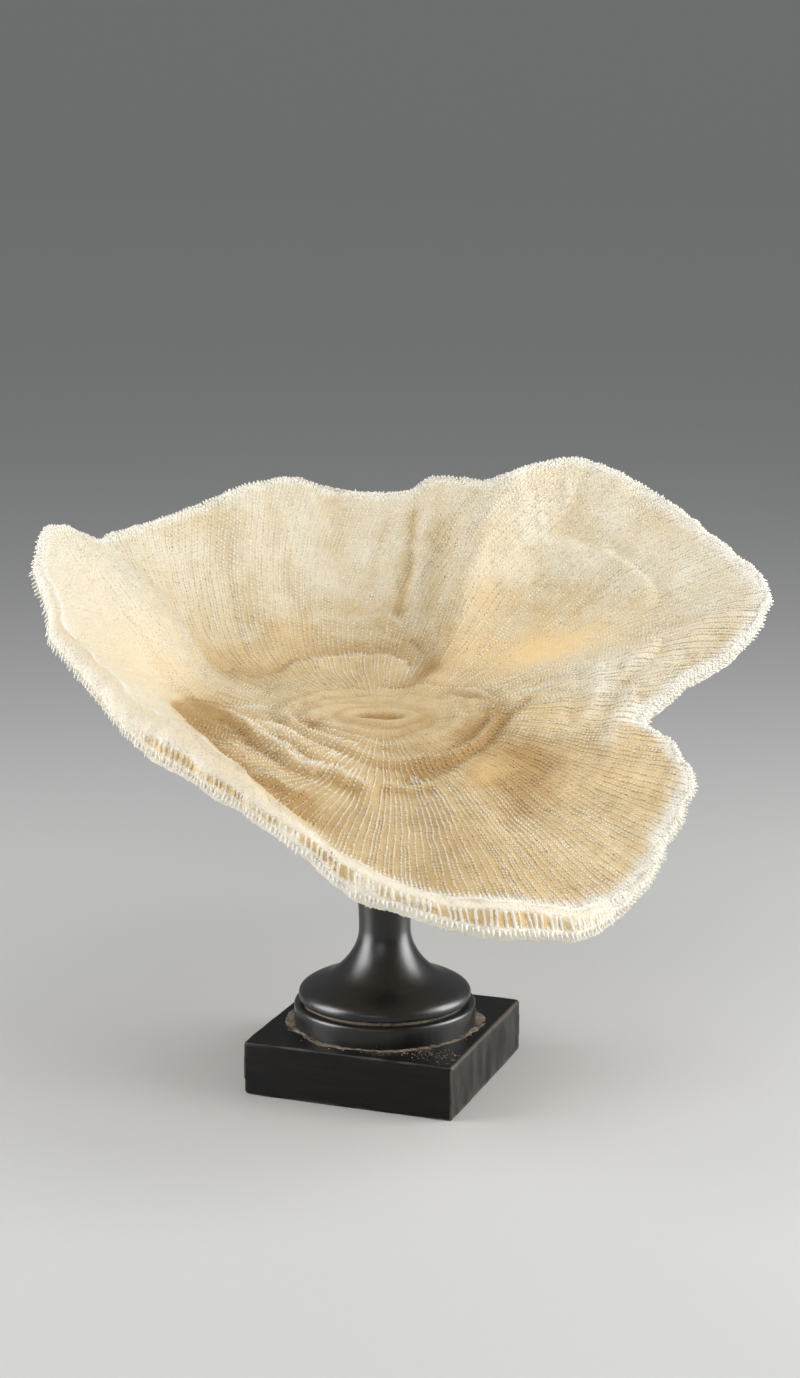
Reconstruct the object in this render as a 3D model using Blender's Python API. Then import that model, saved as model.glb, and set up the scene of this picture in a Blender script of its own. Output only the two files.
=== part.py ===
"""Cup coral on a turned, ebonised wooden stand.

The origin is the centre of the plinth's underside, +Z is up, and the plinth's sides lie along X and Y.
The coral is one grown piece. Its shape is a set of upright sections through its middle, one for each
direction around it, and the sections run smoothly into each other. Lengths below are in millimetres.
"""
import math

import bmesh
import bpy
import numpy as np

MM = 0.001
MERGE_DISTANCE = 0.00001
GAP = 0.3
FULL_TURN = 360.0

# Plinth: a square block
PLINTH_SIDE = 100.0
PLINTH_HEIGHT = 25.0
PLINTH_EDGE = 0.9

# Pedestal: one turned piece
DISC_RADIUS = 42.0
DISC_HEIGHT = 10.0
DISC_ROUND = 1.5
LEDGE_RADIUS = 37.5
LEDGE_HEIGHT = 1.2
BELL_RADIUS = 39.8
BAND_HEIGHT = 3.2
BELL_ROUND = 1.6
SHOULDER_RADIUS = 28.5
SHOULDER_Z = 46.4
NECK_RADIUS = 11.9
NECK_Z = 70.0
COLLAR_RADIUS = 19.0
COLLAR_HEIGHT = 4.0
THROAT_RADIUS = 16.6
TOP_Z = 112.0
TURNED_STEPS = 40

# Mounting pin between pedestal and stalk
PIN_RADIUS = 3.0
PIN_DEPTH = 18.0
PIN_STEPS = 24

# Coral
CORAL_TURN = 20.0
CUP_Z = 170.0
FLOOR_TILT = -0.15
FLOOR_TILT_DIRECTION = 280.0
STALK_RADIUS = 17.0
STALK_FLARE_POWER = 1.8
DIRECTIONS = 84
INSIDE_RINGS = 20
RING_SPREAD = 0.9
LIP_TURNS = (35.0, 65.0, 90.0)
UNDER_RINGS = 10
STALK_RINGS = 3

# The underside runs from the fringe (0) in to where the stalk begins (1), with these thicknesses there.
UNDER_PLACES = (0.0, 0.3, 1.0)
UNDER_THICKNESSES = (4.5, 7.5, 13.0)
STALK_SHARE = 0.26
FRINGE_INSET = 1.5
FRINGE_THICKNESS = 3.2
FRINGE_REACH = 0.2
SLOPE_STEP = 0.02

# Rim of the coral: direction in degrees, reach from the middle, rise above the cup's middle.
# Direction 0 is the viewer's right and 90 is straight away from the viewer.
RIM = (
    (3, 139, 13),
    (8, 165, 25),
    (14, 184, 45),
    (24, 185, 58),
    (34, 180, 72),
    (42, 175, 84),
    (50, 170, 94),
    (55, 162, 97),
    (60, 149, 95),
    (64, 138, 91),
    (69, 142, 86),
    (75, 147, 86),
    (81, 148, 86),
    (86, 147, 79),
    (100, 151, 80),
    (108, 154, 86),
    (119, 150, 83),
    (128, 149, 77),
    (139, 150, 71),
    (150, 149, 69),
    (156, 147, 68),
    (160, 143, 69),
    (165, 146, 74),
    (170, 150, 79),
    (176, 155, 78),
    (183, 155, 63),
    (188, 151, 50),
    (195, 145, 35),
    (204, 135, 19),
    (217, 127, 2),
    (229, 123, -6),
    (241, 123, -15),
    (255, 128, -29),
    (264, 135, -43),
    (273, 142, -48),
    (285, 153, -56),
    (294, 157, -59),
    (302, 158, -61),
    (315, 151, -52),
    (326, 145, -40),
    (337, 144, -25),
    (343, 140, -16),
    (349, 130, -9),
    (355, 118, -2),
)

# Sections: direction, reach and rise of the wall's foot, then how far out and up, as shares of the way
# from foot to rim, the middle of the wall is.
SECTIONS = (
    (0, 62, 4, 0.50, 0.55),
    (20, 66, 10, 0.50, 0.42),
    (40, 70, 12, 0.52, 0.38),
    (54, 73, 13, 0.50, 0.38),
    (65, 68, 15, 0.38, 0.45),
    (76, 75, 12, 0.48, 0.42),
    (90, 76, 11, 0.48, 0.42),
    (120, 82, 10, 0.50, 0.38),
    (140, 92, 9, 0.52, 0.34),
    (158, 82, 9, 0.36, 0.42),
    (180, 87, 10, 0.46, 0.44),
    (205, 92, 8, 0.55, 0.50),
    (225, 76, 0, 0.50, 0.40),
    (245, 62, -6, 0.50, 0.35),
    (270, 52, -12, 0.50, 0.42),
    (295, 52, -11, 0.50, 0.44),
    (320, 56, -8, 0.50, 0.48),
    (340, 60, -3, 0.50, 0.50),
)

# Rolled lip at the margin: direction, drop from its crest to the fringe, and how far it rolls outward.
LIP = (
    (0, 3, 2),
    (90, 3, 2),
    (165, 3, 2),
    (180, 5, 3),
    (195, 10, 5),
    (210, 16, 7),
    (222, 19, 8),
    (232, 14, 8),
    (244, 10, 8),
    (252, 7, 8),
    (258, 8, 8),
    (265, 11, 8),
    (272, 7, 8),
    (279, 8, 8),
    (287, 11, 8),
    (295, 10, 7),
    (304, 7, 5),
    (315, 3, 2),
)


def around(table, column, degrees):
    """A smooth closed curve through one column of a table, read at the given directions."""
    knots = np.array([row[0] for row in table], float)
    values = np.array([row[column] for row in table], float)
    knots = np.concatenate((knots[-2:] - FULL_TURN, knots, knots[:2] + FULL_TURN))
    values = np.concatenate((values[-2:], values, values[:2]))
    slopes = (values[2:] - values[:-2]) / (knots[2:] - knots[:-2])
    knots = knots[1:-1]
    values = values[1:-1]
    low = np.clip(np.searchsorted(knots, degrees, side="right") - 1, 0, len(knots) - 2)
    span = knots[low + 1] - knots[low]
    share = (degrees - knots[low]) / span
    return (
        values[low] * (1 + 2 * share) * (1 - share) ** 2
        + slopes[low] * span * share * (1 - share) ** 2
        + values[low + 1] * share ** 2 * (3 - 2 * share)
        - slopes[low + 1] * span * share ** 2 * (1 - share)
    )


def hermite(start, start_way, end, end_way, share):
    """A cubic between two points, with the way it leaves one and reaches the other."""
    return (
        start * (1 + 2 * share) * (1 - share) ** 2
        + start_way * share * (1 - share) ** 2
        + end * share ** 2 * (3 - 2 * share)
        - end_way * share ** 2 * (1 - share)
    )


def cup_surface(degrees, share):
    """The reach and rise of the cup's inner face, from its middle (share 0) to its crest (share 1)."""
    drop = around(LIP, 1, degrees)
    roll = around(LIP, 2, degrees)
    rim = np.array((around(RIM, 1, degrees) - roll, around(RIM, 2, degrees) + drop))
    foot = np.array((around(SECTIONS, 1, degrees), around(SECTIONS, 2, degrees)))
    out_up = np.array((around(SECTIONS, 3, degrees), around(SECTIONS, 4, degrees)))
    middle = foot + (rim - foot) * out_up
    lengths = [np.hypot(*foot), np.hypot(*(middle - foot)), np.hypot(*(rim - middle))]
    total = lengths[0] + lengths[1] + lengths[2]
    foot_at = lengths[0] / total
    middle_at = (lengths[0] + lengths[1]) / total
    foot_way = middle / middle_at
    middle_way = (rim - foot) / (1 - foot_at)
    rim_way = (rim - middle) / (1 - middle_at)
    tilt = foot[0] * FLOOR_TILT * np.cos(np.radians(degrees - FLOOR_TILT_DIRECTION))
    floor = hermite(0 * foot, np.array((foot[0], tilt)), foot, foot_way * foot_at, share / foot_at)
    run = middle_at - foot_at
    lower = hermite(foot, foot_way * run, middle, middle_way * run, (share - foot_at) / run)
    run = 1 - middle_at
    upper = hermite(middle, middle_way * run, rim, rim_way * run, (share - middle_at) / run)
    return np.where(share < foot_at, floor, np.where(share < middle_at, lower, upper))


def placed(degrees, reach, height):
    """Points of one ring of the coral, in metres, turned as the coral stands on its pedestal."""
    angle = np.radians(degrees + CORAL_TURN)
    level = np.broadcast_to(height, degrees.shape)
    return np.stack((reach * np.cos(angle), reach * np.sin(angle), level), axis=-1) * MM


def inside_rings(degrees):
    """Rings up the inner face of the cup, from its middle to the crest of the lip."""
    rings = []
    for index in range(1, INSIDE_RINGS + 1):
        reach, rise = cup_surface(degrees, (index / INSIDE_RINGS) ** RING_SPREAD)
        rings.append(placed(degrees, reach, CUP_Z + rise))
    return rings


def lip_rings(degrees):
    """Rings over the rolled lip, from its crest down to the fringe."""
    crest_reach, crest_rise = cup_surface(degrees, 1.0)
    drop = around(LIP, 1, degrees)
    roll = around(LIP, 2, degrees)
    rings = []
    for turn in LIP_TURNS:
        reach = crest_reach + roll * math.sin(math.radians(turn))
        rise = crest_rise - drop * (1 - math.cos(math.radians(turn)))
        rings.append(placed(degrees, reach, CUP_Z + rise))
    return rings


def under_ring(degrees, inward):
    """Reach and rise of one ring of the underside, a wall's thickness behind the inner face."""
    share = 1 - (1 - STALK_SHARE) * inward
    reach, rise = cup_surface(degrees, share)
    near_reach, near_rise = cup_surface(degrees, share - SLOPE_STEP)
    slope = np.arctan2(rise - near_rise, reach - near_reach)
    thickness = np.interp(inward, UNDER_PLACES, UNDER_THICKNESSES)
    under_reach = reach + thickness * np.sin(slope)
    under_rise = rise - thickness * np.cos(slope)
    hug = max(0.0, 1 - inward / FRINGE_REACH)
    fringe_reach = around(RIM, 1, degrees) - FRINGE_INSET
    fringe_rise = around(RIM, 2, degrees) - FRINGE_THICKNESS
    return (
        under_reach + (fringe_reach - under_reach) * hug,
        under_rise + (fringe_rise - under_rise) * hug,
    )


def stalk_rings(degrees, start_reach, start_z):
    """Rings down the stalk to its flat cut, then in to the bore for the pin and up to its end."""
    cut_z = TOP_Z + GAP
    rings = []
    for index in range(1, STALK_RINGS + 1):
        down = index / STALK_RINGS
        reach = STALK_RADIUS + (start_reach - STALK_RADIUS) * (1 - down) ** STALK_FLARE_POWER
        rings.append(placed(degrees, reach, start_z + (cut_z - start_z) * down))
    bore = np.full(len(degrees), PIN_RADIUS + GAP)
    rings.append(placed(degrees, bore, cut_z))
    rings.append(placed(degrees, bore, cut_z + PIN_DEPTH))
    return rings


def coral_rings():
    """The coral's rings, from the middle of the cup over the lip and back under it to the stalk."""
    degrees = np.arange(DIRECTIONS) * FULL_TURN / DIRECTIONS
    rings = inside_rings(degrees) + lip_rings(degrees)
    for index in range(UNDER_RINGS + 1):
        reach, rise = under_ring(degrees, index / UNDER_RINGS)
        rings.append(placed(degrees, reach, CUP_Z + rise))
    return rings + stalk_rings(degrees, reach, CUP_Z + rise)


def ring_solid(name, rings, start, end):
    """One closed solid lofted through rings of equal length, closed by a point at each end."""
    mesh = bmesh.new()
    loops = [[mesh.verts.new(point) for point in ring] for ring in rings]
    count = len(loops[0])
    for inner, outer in zip(loops, loops[1:]):
        for index in range(count):
            following = (index + 1) % count
            mesh.faces.new((inner[index], outer[index], outer[following], inner[following]))
    start_point = mesh.verts.new(start)
    end_point = mesh.verts.new(end)
    for index in range(count):
        following = (index + 1) % count
        mesh.faces.new((start_point, loops[0][index], loops[0][following]))
        mesh.faces.new((end_point, loops[-1][following], loops[-1][index]))
    bmesh.ops.recalc_face_normals(mesh, faces=mesh.faces)
    data = bpy.data.meshes.new(name)
    mesh.to_mesh(data)
    mesh.free()
    return add_object(name, data)


def add_object(name, data):
    """Put a mesh into the scene under its own name."""
    thing = bpy.data.objects.new(name, data)
    bpy.context.scene.collection.objects.link(thing)
    return thing


def finish(thing, colour, roughness, metallic=0.0, sharp_from=35.0):
    """Shade a piece smooth up to its sharp edges and give it its material."""
    thing.data.shade_smooth()
    thing.data.set_sharp_from_angle(angle=math.radians(sharp_from))
    material = bpy.data.materials.new(thing.name)
    material.use_nodes = True
    shader = material.node_tree.nodes["Principled BSDF"]
    shader.inputs["Base Color"].default_value = (*colour, 1.0)
    shader.inputs["Roughness"].default_value = roughness
    shader.inputs["Metallic"].default_value = metallic
    thing.data.materials.append(material)


def arc(centre, radius, start, end, steps):
    """Points on an arc of a turned profile, from one angle to another in degrees."""
    points = []
    for index in range(steps + 1):
        angle = math.radians(start + (end - start) * index / steps)
        points.append((centre[0] + radius * math.cos(angle), centre[1] + radius * math.sin(angle)))
    return points


def flow(start, start_way, end, end_way, steps):
    """A smooth stretch of a turned profile between two points, with the way it leaves and arrives."""
    points = []
    for index in range(steps + 1):
        share = index / steps
        reach = hermite(start[0], start_way[0], end[0], end_way[0], share)
        height = hermite(start[1], start_way[1], end[1], end_way[1], share)
        points.append((reach, height))
    return points


def pedestal_profile():
    """The turned outline from the bore in its top, down its outer side, to the middle of its foot."""
    disc_z = PLINTH_HEIGHT + GAP
    ledge_z = disc_z + DISC_HEIGHT
    band_z = ledge_z + LEDGE_HEIGHT
    bell_z = band_z + BAND_HEIGHT
    bore = PIN_RADIUS + GAP
    neck = (NECK_RADIUS, NECK_Z)
    shoulder = (SHOULDER_RADIUS, SHOULDER_Z)
    throat = (THROAT_RADIUS, TOP_Z - COLLAR_HEIGHT)
    collar_round = COLLAR_HEIGHT / 2
    collar_centre = (COLLAR_RADIUS - collar_round, TOP_Z - collar_round)
    points = [(0.0, TOP_Z - PIN_DEPTH), (bore, TOP_Z - PIN_DEPTH), (bore, TOP_Z)]
    points += arc(collar_centre, collar_round, 90, -90, 5)
    points += flow(throat, (-9.0, -12.0), neck, (0.0, -34.0), 6)
    points += flow(neck, (0.0, -32.0), shoulder, (20.0, -8.0), 9)[1:]
    points += flow(shoulder, (12.0, -5.0), (BELL_RADIUS, bell_z), (1.0, -9.0), 5)[1:]
    points += arc((BELL_RADIUS - BELL_ROUND, band_z + BELL_ROUND), BELL_ROUND, 0, -90, 3)
    points += [(LEDGE_RADIUS, band_z), (LEDGE_RADIUS, ledge_z)]
    points += arc((DISC_RADIUS - DISC_ROUND, ledge_z - DISC_ROUND), DISC_ROUND, 90, 0, 3)
    points += [(DISC_RADIUS, disc_z), (0.0, disc_z)]
    return points


def make_coral():
    """The cup coral with its stalk, one grown piece."""
    rings = coral_rings()
    top = (0.0, 0.0, CUP_Z * MM)
    bore_end = (0.0, 0.0, (TOP_Z + GAP + PIN_DEPTH) * MM)
    coral = ring_solid("coral", rings, top, bore_end)
    finish(coral, (0.80, 0.70, 0.53), 0.85, sharp_from=60.0)


def make_turned(name, profile, steps):
    """A solid turned about Z from an outline at +X that runs down its outer side."""
    mesh = bmesh.new()
    points = [mesh.verts.new((reach * MM, 0.0, height * MM)) for reach, height in profile]
    for first, second in zip(points, points[1:]):
        mesh.edges.new((first, second))
    data = bpy.data.meshes.new(name)
    mesh.to_mesh(data)
    mesh.free()
    thing = add_object(name, data)
    screw = thing.modifiers.new("turned", "SCREW")
    screw.steps = steps
    screw.render_steps = steps
    screw.use_merge_vertices = True
    screw.merge_threshold = MERGE_DISTANCE
    return thing


def make_pedestal():
    """The turned wooden pedestal with the bore for the pin in its top."""
    pedestal = make_turned("pedestal", pedestal_profile(), TURNED_STEPS)
    finish(pedestal, (0.012, 0.010, 0.009), 0.28)


def make_plinth():
    """The square block under the pedestal, with slightly worn edges."""
    mesh = bmesh.new()
    bmesh.ops.create_cube(mesh, size=1.0)
    size = (PLINTH_SIDE * MM, PLINTH_SIDE * MM, PLINTH_HEIGHT * MM)
    bmesh.ops.scale(mesh, vec=size, verts=mesh.verts)
    bmesh.ops.translate(mesh, vec=(0.0, 0.0, PLINTH_HEIGHT * MM / 2), verts=mesh.verts)
    data = bpy.data.meshes.new("plinth")
    mesh.to_mesh(data)
    mesh.free()
    plinth = add_object("plinth", data)
    bevel = plinth.modifiers.new("worn edges", "BEVEL")
    bevel.width = PLINTH_EDGE * MM
    bevel.segments = 2
    finish(plinth, (0.010, 0.009, 0.008), 0.42)


def make_pin():
    """The hidden metal pin that holds the stalk on the pedestal."""
    low = TOP_Z - PIN_DEPTH + GAP
    high = TOP_Z + PIN_DEPTH
    profile = [(0.0, high), (PIN_RADIUS, high), (PIN_RADIUS, low), (0.0, low)]
    pin = make_turned("mounting_pin", profile, PIN_STEPS)
    finish(pin, (0.45, 0.44, 0.42), 0.40, metallic=1.0)


def main():
    """Clear the scene and build the four pieces."""
    for thing in list(bpy.data.objects):
        bpy.data.objects.remove(thing)
    make_coral()
    make_pedestal()
    make_plinth()
    make_pin()


main()
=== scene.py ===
"""Looks of the cup coral on its turned, ebonised stand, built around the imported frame.

The coral is one grown body. Its skin is a wrapped grid of points, from the middle of the cup out over the
rolled lip and back beneath it to the cut stalk. The septa, the bars across the lip, the teeth of the margin
and the ribs beneath are joined meshes that stand on that skin. Lengths are in millimetres until a mesh is
made. The coral's own frame has direction 0 at the viewer's right and 90 straight away from the viewer.
"""
import functools
import itertools
import math

import bpy
import numpy as np
from mathutils import Matrix, Vector


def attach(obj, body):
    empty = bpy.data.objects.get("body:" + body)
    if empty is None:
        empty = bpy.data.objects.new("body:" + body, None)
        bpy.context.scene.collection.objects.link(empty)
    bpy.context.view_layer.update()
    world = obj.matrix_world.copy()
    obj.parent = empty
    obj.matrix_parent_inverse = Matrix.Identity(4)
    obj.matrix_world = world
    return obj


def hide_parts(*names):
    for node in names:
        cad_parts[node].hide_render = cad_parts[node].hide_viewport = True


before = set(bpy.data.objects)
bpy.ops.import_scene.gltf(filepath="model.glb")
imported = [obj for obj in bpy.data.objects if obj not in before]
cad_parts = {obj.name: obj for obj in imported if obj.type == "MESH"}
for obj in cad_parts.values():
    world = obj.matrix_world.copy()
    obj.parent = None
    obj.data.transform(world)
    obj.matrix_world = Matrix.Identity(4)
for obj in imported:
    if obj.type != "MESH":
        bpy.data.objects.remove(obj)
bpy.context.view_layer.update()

bl_info = {
    "name": "Cup coral on a turned stand",
    "version": (1, 0, 0),
    "blender": (4, 5, 0),
    "location": "3D View > Sidebar > Cup coral",
    "description": "Models and finishes a cup coral, its ebonised stand and a plain studio around them",
    "category": "Add Mesh",
}

MM = 0.001
MERGE_DISTANCE = 0.000001
GAP = 0.3
FULL_TURN = 360.0

# Stand
PLINTH_SIDE = 100.0
PLINTH_HEIGHT = 25.0
DISC_RADIUS = 42.0
DISC_HEIGHT = 10.0
DISC_ROUND = 1.5
DISC_CUTS = (6.5, 4.5, 3.0, 2.0, 1.2, 0.6, 0.0)
LEDGE_RADIUS = 37.5
LEDGE_HEIGHT = 1.2
BELL_RADIUS = 39.8
BAND_HEIGHT = 3.2
BELL_ROUND = 1.6
SHOULDER_RADIUS = 28.5
SHOULDER_Z = 46.4
NECK_RADIUS = 11.9
NECK_Z = 70.0
COLLAR_RADIUS = 19.0
COLLAR_HEIGHT = 4.0
THROAT_RADIUS = 16.6
TOP_Z = 112.0
PIN_RADIUS = 3.0
PIN_DEPTH = 18.0
TURNED_STEPS = 144

# Coral, as in the CAD
CORAL_TURN = 20.0
CUP_Z = 170.0
FLOOR_TILT = -0.15
FLOOR_TILT_DIRECTION = 280.0
STALK_RADIUS = 17.0
STALK_FLARE_POWER = 1.8
RING_SPREAD = 0.9
UNDER_PLACES = (0.0, 0.3, 1.0)
UNDER_THICKNESSES = (4.5, 7.5, 13.0)
STALK_SHARE = 0.26
FRINGE_INSET = 1.5
FRINGE_THICKNESS = 3.2
FRINGE_REACH = 0.2
SLOPE_STEP = 0.02

# Directions of the coral's parts, and how far its walls and margins spread to each side of theirs
FRONT_DIRECTION = 275.0
SLOPE_DIRECTION = 262.0
LEFT_WALL_DIRECTION = 187.0
LEFT_WALL_SPREAD = 26.0
BACK_WALL_DIRECTION = 105.0
BACK_WALL_SPREAD = 60.0
BACK_MARGIN_SPREAD = 62.0
NARROW_BAND_DIRECTION = 240.0
NARROW_BAND_SPREAD = 34.0
BROAD_BAND_DIRECTION = 350.0

# Lumpy place at the front left: centre in plan and radii
LUMPS_CENTRE = (-60, -55)
LUMPS_RADII = (34, 34)

# Skin grid: columns are directions, rows run from the cup's middle to the bore
COLUMNS = 576
INSIDE_ROWS = 112
LIP_ROWS = 16
UNDER_ROWS = 24
STALK_ROWS = 7
CREST_ROW = INSIDE_ROWS
FRINGE_ROW = CREST_ROW + LIP_ROWS
UNDER_ROW = FRINGE_ROW + 1
STALK_ROW = UNDER_ROW + UNDER_ROWS

# Rim of the coral: direction in degrees, reach from the middle, rise above the cup's middle
RIM = (
    (3, 139, 13),
    (8, 165, 25),
    (14, 184, 45),
    (24, 185, 58),
    (34, 180, 72),
    (42, 175, 84),
    (50, 170, 94),
    (55, 162, 97),
    (60, 149, 95),
    (64, 138, 91),
    (69, 142, 86),
    (75, 147, 86),
    (81, 148, 86),
    (86, 147, 79),
    (100, 151, 80),
    (108, 154, 86),
    (119, 150, 83),
    (128, 149, 77),
    (139, 150, 71),
    (150, 149, 69),
    (156, 147, 68),
    (160, 143, 69),
    (165, 146, 74),
    (170, 150, 79),
    (176, 155, 78),
    (183, 155, 63),
    (188, 151, 50),
    (195, 145, 35),
    (204, 135, 19),
    (217, 127, 2),
    (229, 123, -6),
    (241, 123, -15),
    (255, 128, -29),
    (264, 135, -43),
    (273, 142, -48),
    (285, 153, -56),
    (294, 157, -59),
    (302, 158, -61),
    (315, 151, -52),
    (326, 145, -40),
    (337, 144, -25),
    (343, 140, -16),
    (349, 130, -9),
    (355, 118, -2),
)

# Sections: direction, reach and rise of the wall's foot, then how far out and up, as shares of the way
# from foot to rim, the middle of the wall is
SECTIONS = (
    (0, 62, 4, 0.50, 0.55),
    (20, 66, 10, 0.50, 0.42),
    (40, 70, 12, 0.52, 0.38),
    (54, 73, 13, 0.50, 0.38),
    (65, 68, 15, 0.38, 0.45),
    (76, 75, 12, 0.48, 0.42),
    (90, 76, 11, 0.48, 0.42),
    (120, 82, 10, 0.50, 0.38),
    (140, 92, 9, 0.52, 0.34),
    (158, 82, 9, 0.36, 0.42),
    (180, 87, 10, 0.46, 0.44),
    (205, 92, 8, 0.55, 0.50),
    (225, 76, 0, 0.50, 0.40),
    (245, 62, -6, 0.50, 0.35),
    (270, 52, -12, 0.50, 0.42),
    (295, 52, -11, 0.50, 0.44),
    (320, 56, -8, 0.50, 0.48),
    (340, 60, -3, 0.50, 0.50),
)

# Rolled lip at the margin: direction, drop from its crest to the fringe, and how far it rolls outward
LIP = (
    (0, 3, 2),
    (90, 3, 2),
    (165, 3, 2),
    (180, 5, 3),
    (195, 8, 5),
    (210, 12, 7),
    (222, 15, 8),
    (232, 12, 8),
    (244, 9, 8),
    (252, 7, 8),
    (258, 8, 8),
    (265, 11, 8),
    (272, 7, 8),
    (279, 8, 8),
    (287, 11, 8),
    (295, 10, 7),
    (304, 7, 5),
    (315, 3, 2),
)

# Edges of older growth plates: places in the coral's plan, rise of the edge, drop beyond it, width of the
# rise on the inner side, width of the drop on the outer side, painted shade in the drop, painted highlight on
# the edge
PLATE_EDGES = (
    (((-61, -29), (-47, -35), (-37, -46), (-27, -55), (-13, -54)), 1.5, 1.1, 10, 9, 0.25, 0.2),
    (
        ((-85, 0), (-70, -27), (-51, -51), (-37, -70), (-23, -70), (-11, -71), (-3, -75)),
        2.6, 1.8, 12, 12, 0.25, 0.4,
    ),
    (((-60, -93), (-47, -92), (-39, -93), (-31, -89)), 1.2, 0.9, 9, 9, 0.2, 0.3),
    (((22, -60), (14, -65), (4, -67), (-4, -66)), 1.0, 0.9, 5, 7, 0.2, 0.3),
    (((-45, 92), (-17, 98), (19, 94)), 1.3, 0.9, 6, 8, 0.1, 0.25),
    (((-40, 84), (-12, 89), (7, 86), (24, 66)), 1.0, 0.8, 6, 6, 0.1, 0.1),
    (((-54, 50), (-41, 69), (-22, 77), (2, 74), (16, 58)), 1.6, 1.2, 9, 9, 0.2, 0.3),
    (
        ((47, 86), (56, 96), (69, 104), (86, 106), (104, 96), (118, 84), (125, 70), (126, 56)),
        2.6, 1.4, 20, 9, 0.02, 0.15,
    ),
    (((102, 8), (108, 14), (115, 20), (123, 26), (129, 34)), 1.4, 1.0, 9, 7, 0.12, 0.15),
)

# Grooves and ridges: places in plan, depth (negative is a ridge), half width, painted shade in the groove,
# painted highlight on the ridge
GROOVES = (
    (((49, 6), (44, -12), (34, -32), (24, -46), (14, -56), (4, -60)), 2.4, 6.5, 0.45, 0.0),
    (((26, 29), (44, 13), (50, 3), (46, -8), (31, -29)), 1.4, 1.9, 0.5, 0.0),
    (((72, 13), (62, 3), (57, -4), (46, -24), (36, -40), (22, -54)), 1.3, 2.2, 0.4, 0.0),
    (((-3, 40), (14, 50), (26, 60)), 1.2, 6.0, 0.3, 0.0),
    (((-28, -25), (-34, -19), (-31, -10), (-25, -9)), 1.8, 4.0, 0.35, 0.0),
    (((12, -56), (11, -62)), -1.6, 2.4, 0.0, 0.35),
    (((115, -2), (106, -6), (95, -37)), -1.8, 6.0, 0.0, 0.4),
    (((97, 28), (98, 12), (95, 0), (86, -16)), -1.4, 3.0, 0.0, 0.35),
    (((88, 26), (90, 10), (86, -2), (78, -14)), 1.0, 2.6, 0.12, 0.0),
    (((108, 26), (108, 12), (104, 0), (98, -10)), 1.2, 2.6, 0.14, 0.0),
    (((-128, -43), (-122, -51)), 1.2, 5.0, 0.4, 0.0),
    (((-1, 138), (-1, 132), (-5, 123), (-7, 113), (-8, 106)), 1.2, 2.6, 0.12, 0.0),
    (((13, 138), (13, 132), (11, 118), (7, 102), (5, 94)), 2.2, 3.0, 0.32, 0.0),
    (((22, 86), (27, 104), (28, 112), (27, 121), (29, 130)), 2.0, 5.5, 0.12, 0.0),
    (((57, 118), (40, 109), (33, 99), (30, 90), (29, 70)), -2.0, 5.0, 0.0, 0.2),
    (((88, 125), (90, 122), (86, 114)), -0.9, 1.4, 0.0, 0.5),
    (((76, 123), (77, 114), (78, 106)), -0.9, 1.4, 0.0, 0.5),
    (((59, -60), (56, -76), (49, -91)), 0.8, 5.0, 0.06, 0.0),
    (((75, -74), (90, -66), (102, -59)), 0.5, 6.0, 0.0, 0.0),
)

# Where a smooth wall stands sharply up from a browner floor: places in plan, and how far it stands up
WALL_FOOT = (
    (-84, 2),
    (-90, -16),
    (-93, -34),
    (-87, -55),
    (-78, -76),
    (-67, -90),
    (-55, -98),
    (-42, -106),
    (-29, -113),
    (-8, -121),
)
WALL_FOOT_DEPTH = 3.0

# Rolled lip: depth of its pits, distance between the bars across them, stations along a bar, and the
# directions from which the lip has pits, stands steeply and has its bars low
PIT_DEPTH = 1.1
BAR_SPACING = 3.1
BAR_STATIONS = 14
PITS_FROM = 210.0
STEEP_FROM = 244.0
LOW_BARS_FROM = 260.0

# Septa: nearest start to the cup's middle, latest start as a share of the way to the crest, fewest
# stations, the distances along a septum over which its size and its paleness rise, and the shares of all
# septa that are strong, that go in the first piece, and that go in the first two
SEPTUM_START = 8.0
SEPTUM_LATEST_START = 0.93
SEPTUM_FEWEST_STATIONS = 5
SEPTUM_GROWS_OVER = 110
SEPTUM_PALES_OVER = 65.0
SEPTA_STRONG = 0.55
SEPTA_IN_FIRST = 0.26
SEPTA_IN_FIRST_TWO = 0.58

# Margin and underside: radius of a tooth as a share of the spacing, how deep its foot and the feet of
# septa, bars and ribs stand in the skin, distance between stations along a rib, its height and half width
TOOTH_RADIUS_SHARE = 0.29
TOOTH_FOOT_DEPTH = 0.4
STRIP_FOOT_DEPTH = 0.25
RIB_STATION = 2.6
RIB_HEIGHT = 0.55
RIB_HALF_WIDTH = 0.60

# Rings round the middle of the cup: centre in plan, radii, rise, half width, painted shadow outside it, the
# direction where it is strongest and how much weaker it gets opposite
RINGS = (
    ((-3, -1), (16, 8), 1.1, 2.4, 0.15, 270, 0.2),
    ((-8, -4), (25, 17), 1.0, 2.6, 0.2, 180, 0.5),
    ((-2, -3), (35, 28), 0.7, 2.4, 0.12, 250, 0.5),
    ((2, -3), (47, 41), 2.0, 3.0, 0.25, 320, 0.3),
)
DIMPLE = ((-3, -1), (13, 6), 4.2)

# Pleats up the back wall: direction, depth (negative is a fold towards the cup), half width in degrees
PLEATS = (
    (128, 0.7, 2.4),
    (122, -0.8, 2.2),
    (114, 0.7, 1.8),
    (108, -0.7, 2.2),
    (101, 0.8, 1.6),
    (88, -1.0, 2.6),
    (79, 0.8, 1.8),
    (66, -0.8, 2.4),
    (52, 0.7, 1.8),
    (46, -0.6, 1.8),
    (39, 0.6, 2.0),
    (142, -0.5, 3.0),
    (150, 0.5, 2.6),
)
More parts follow.
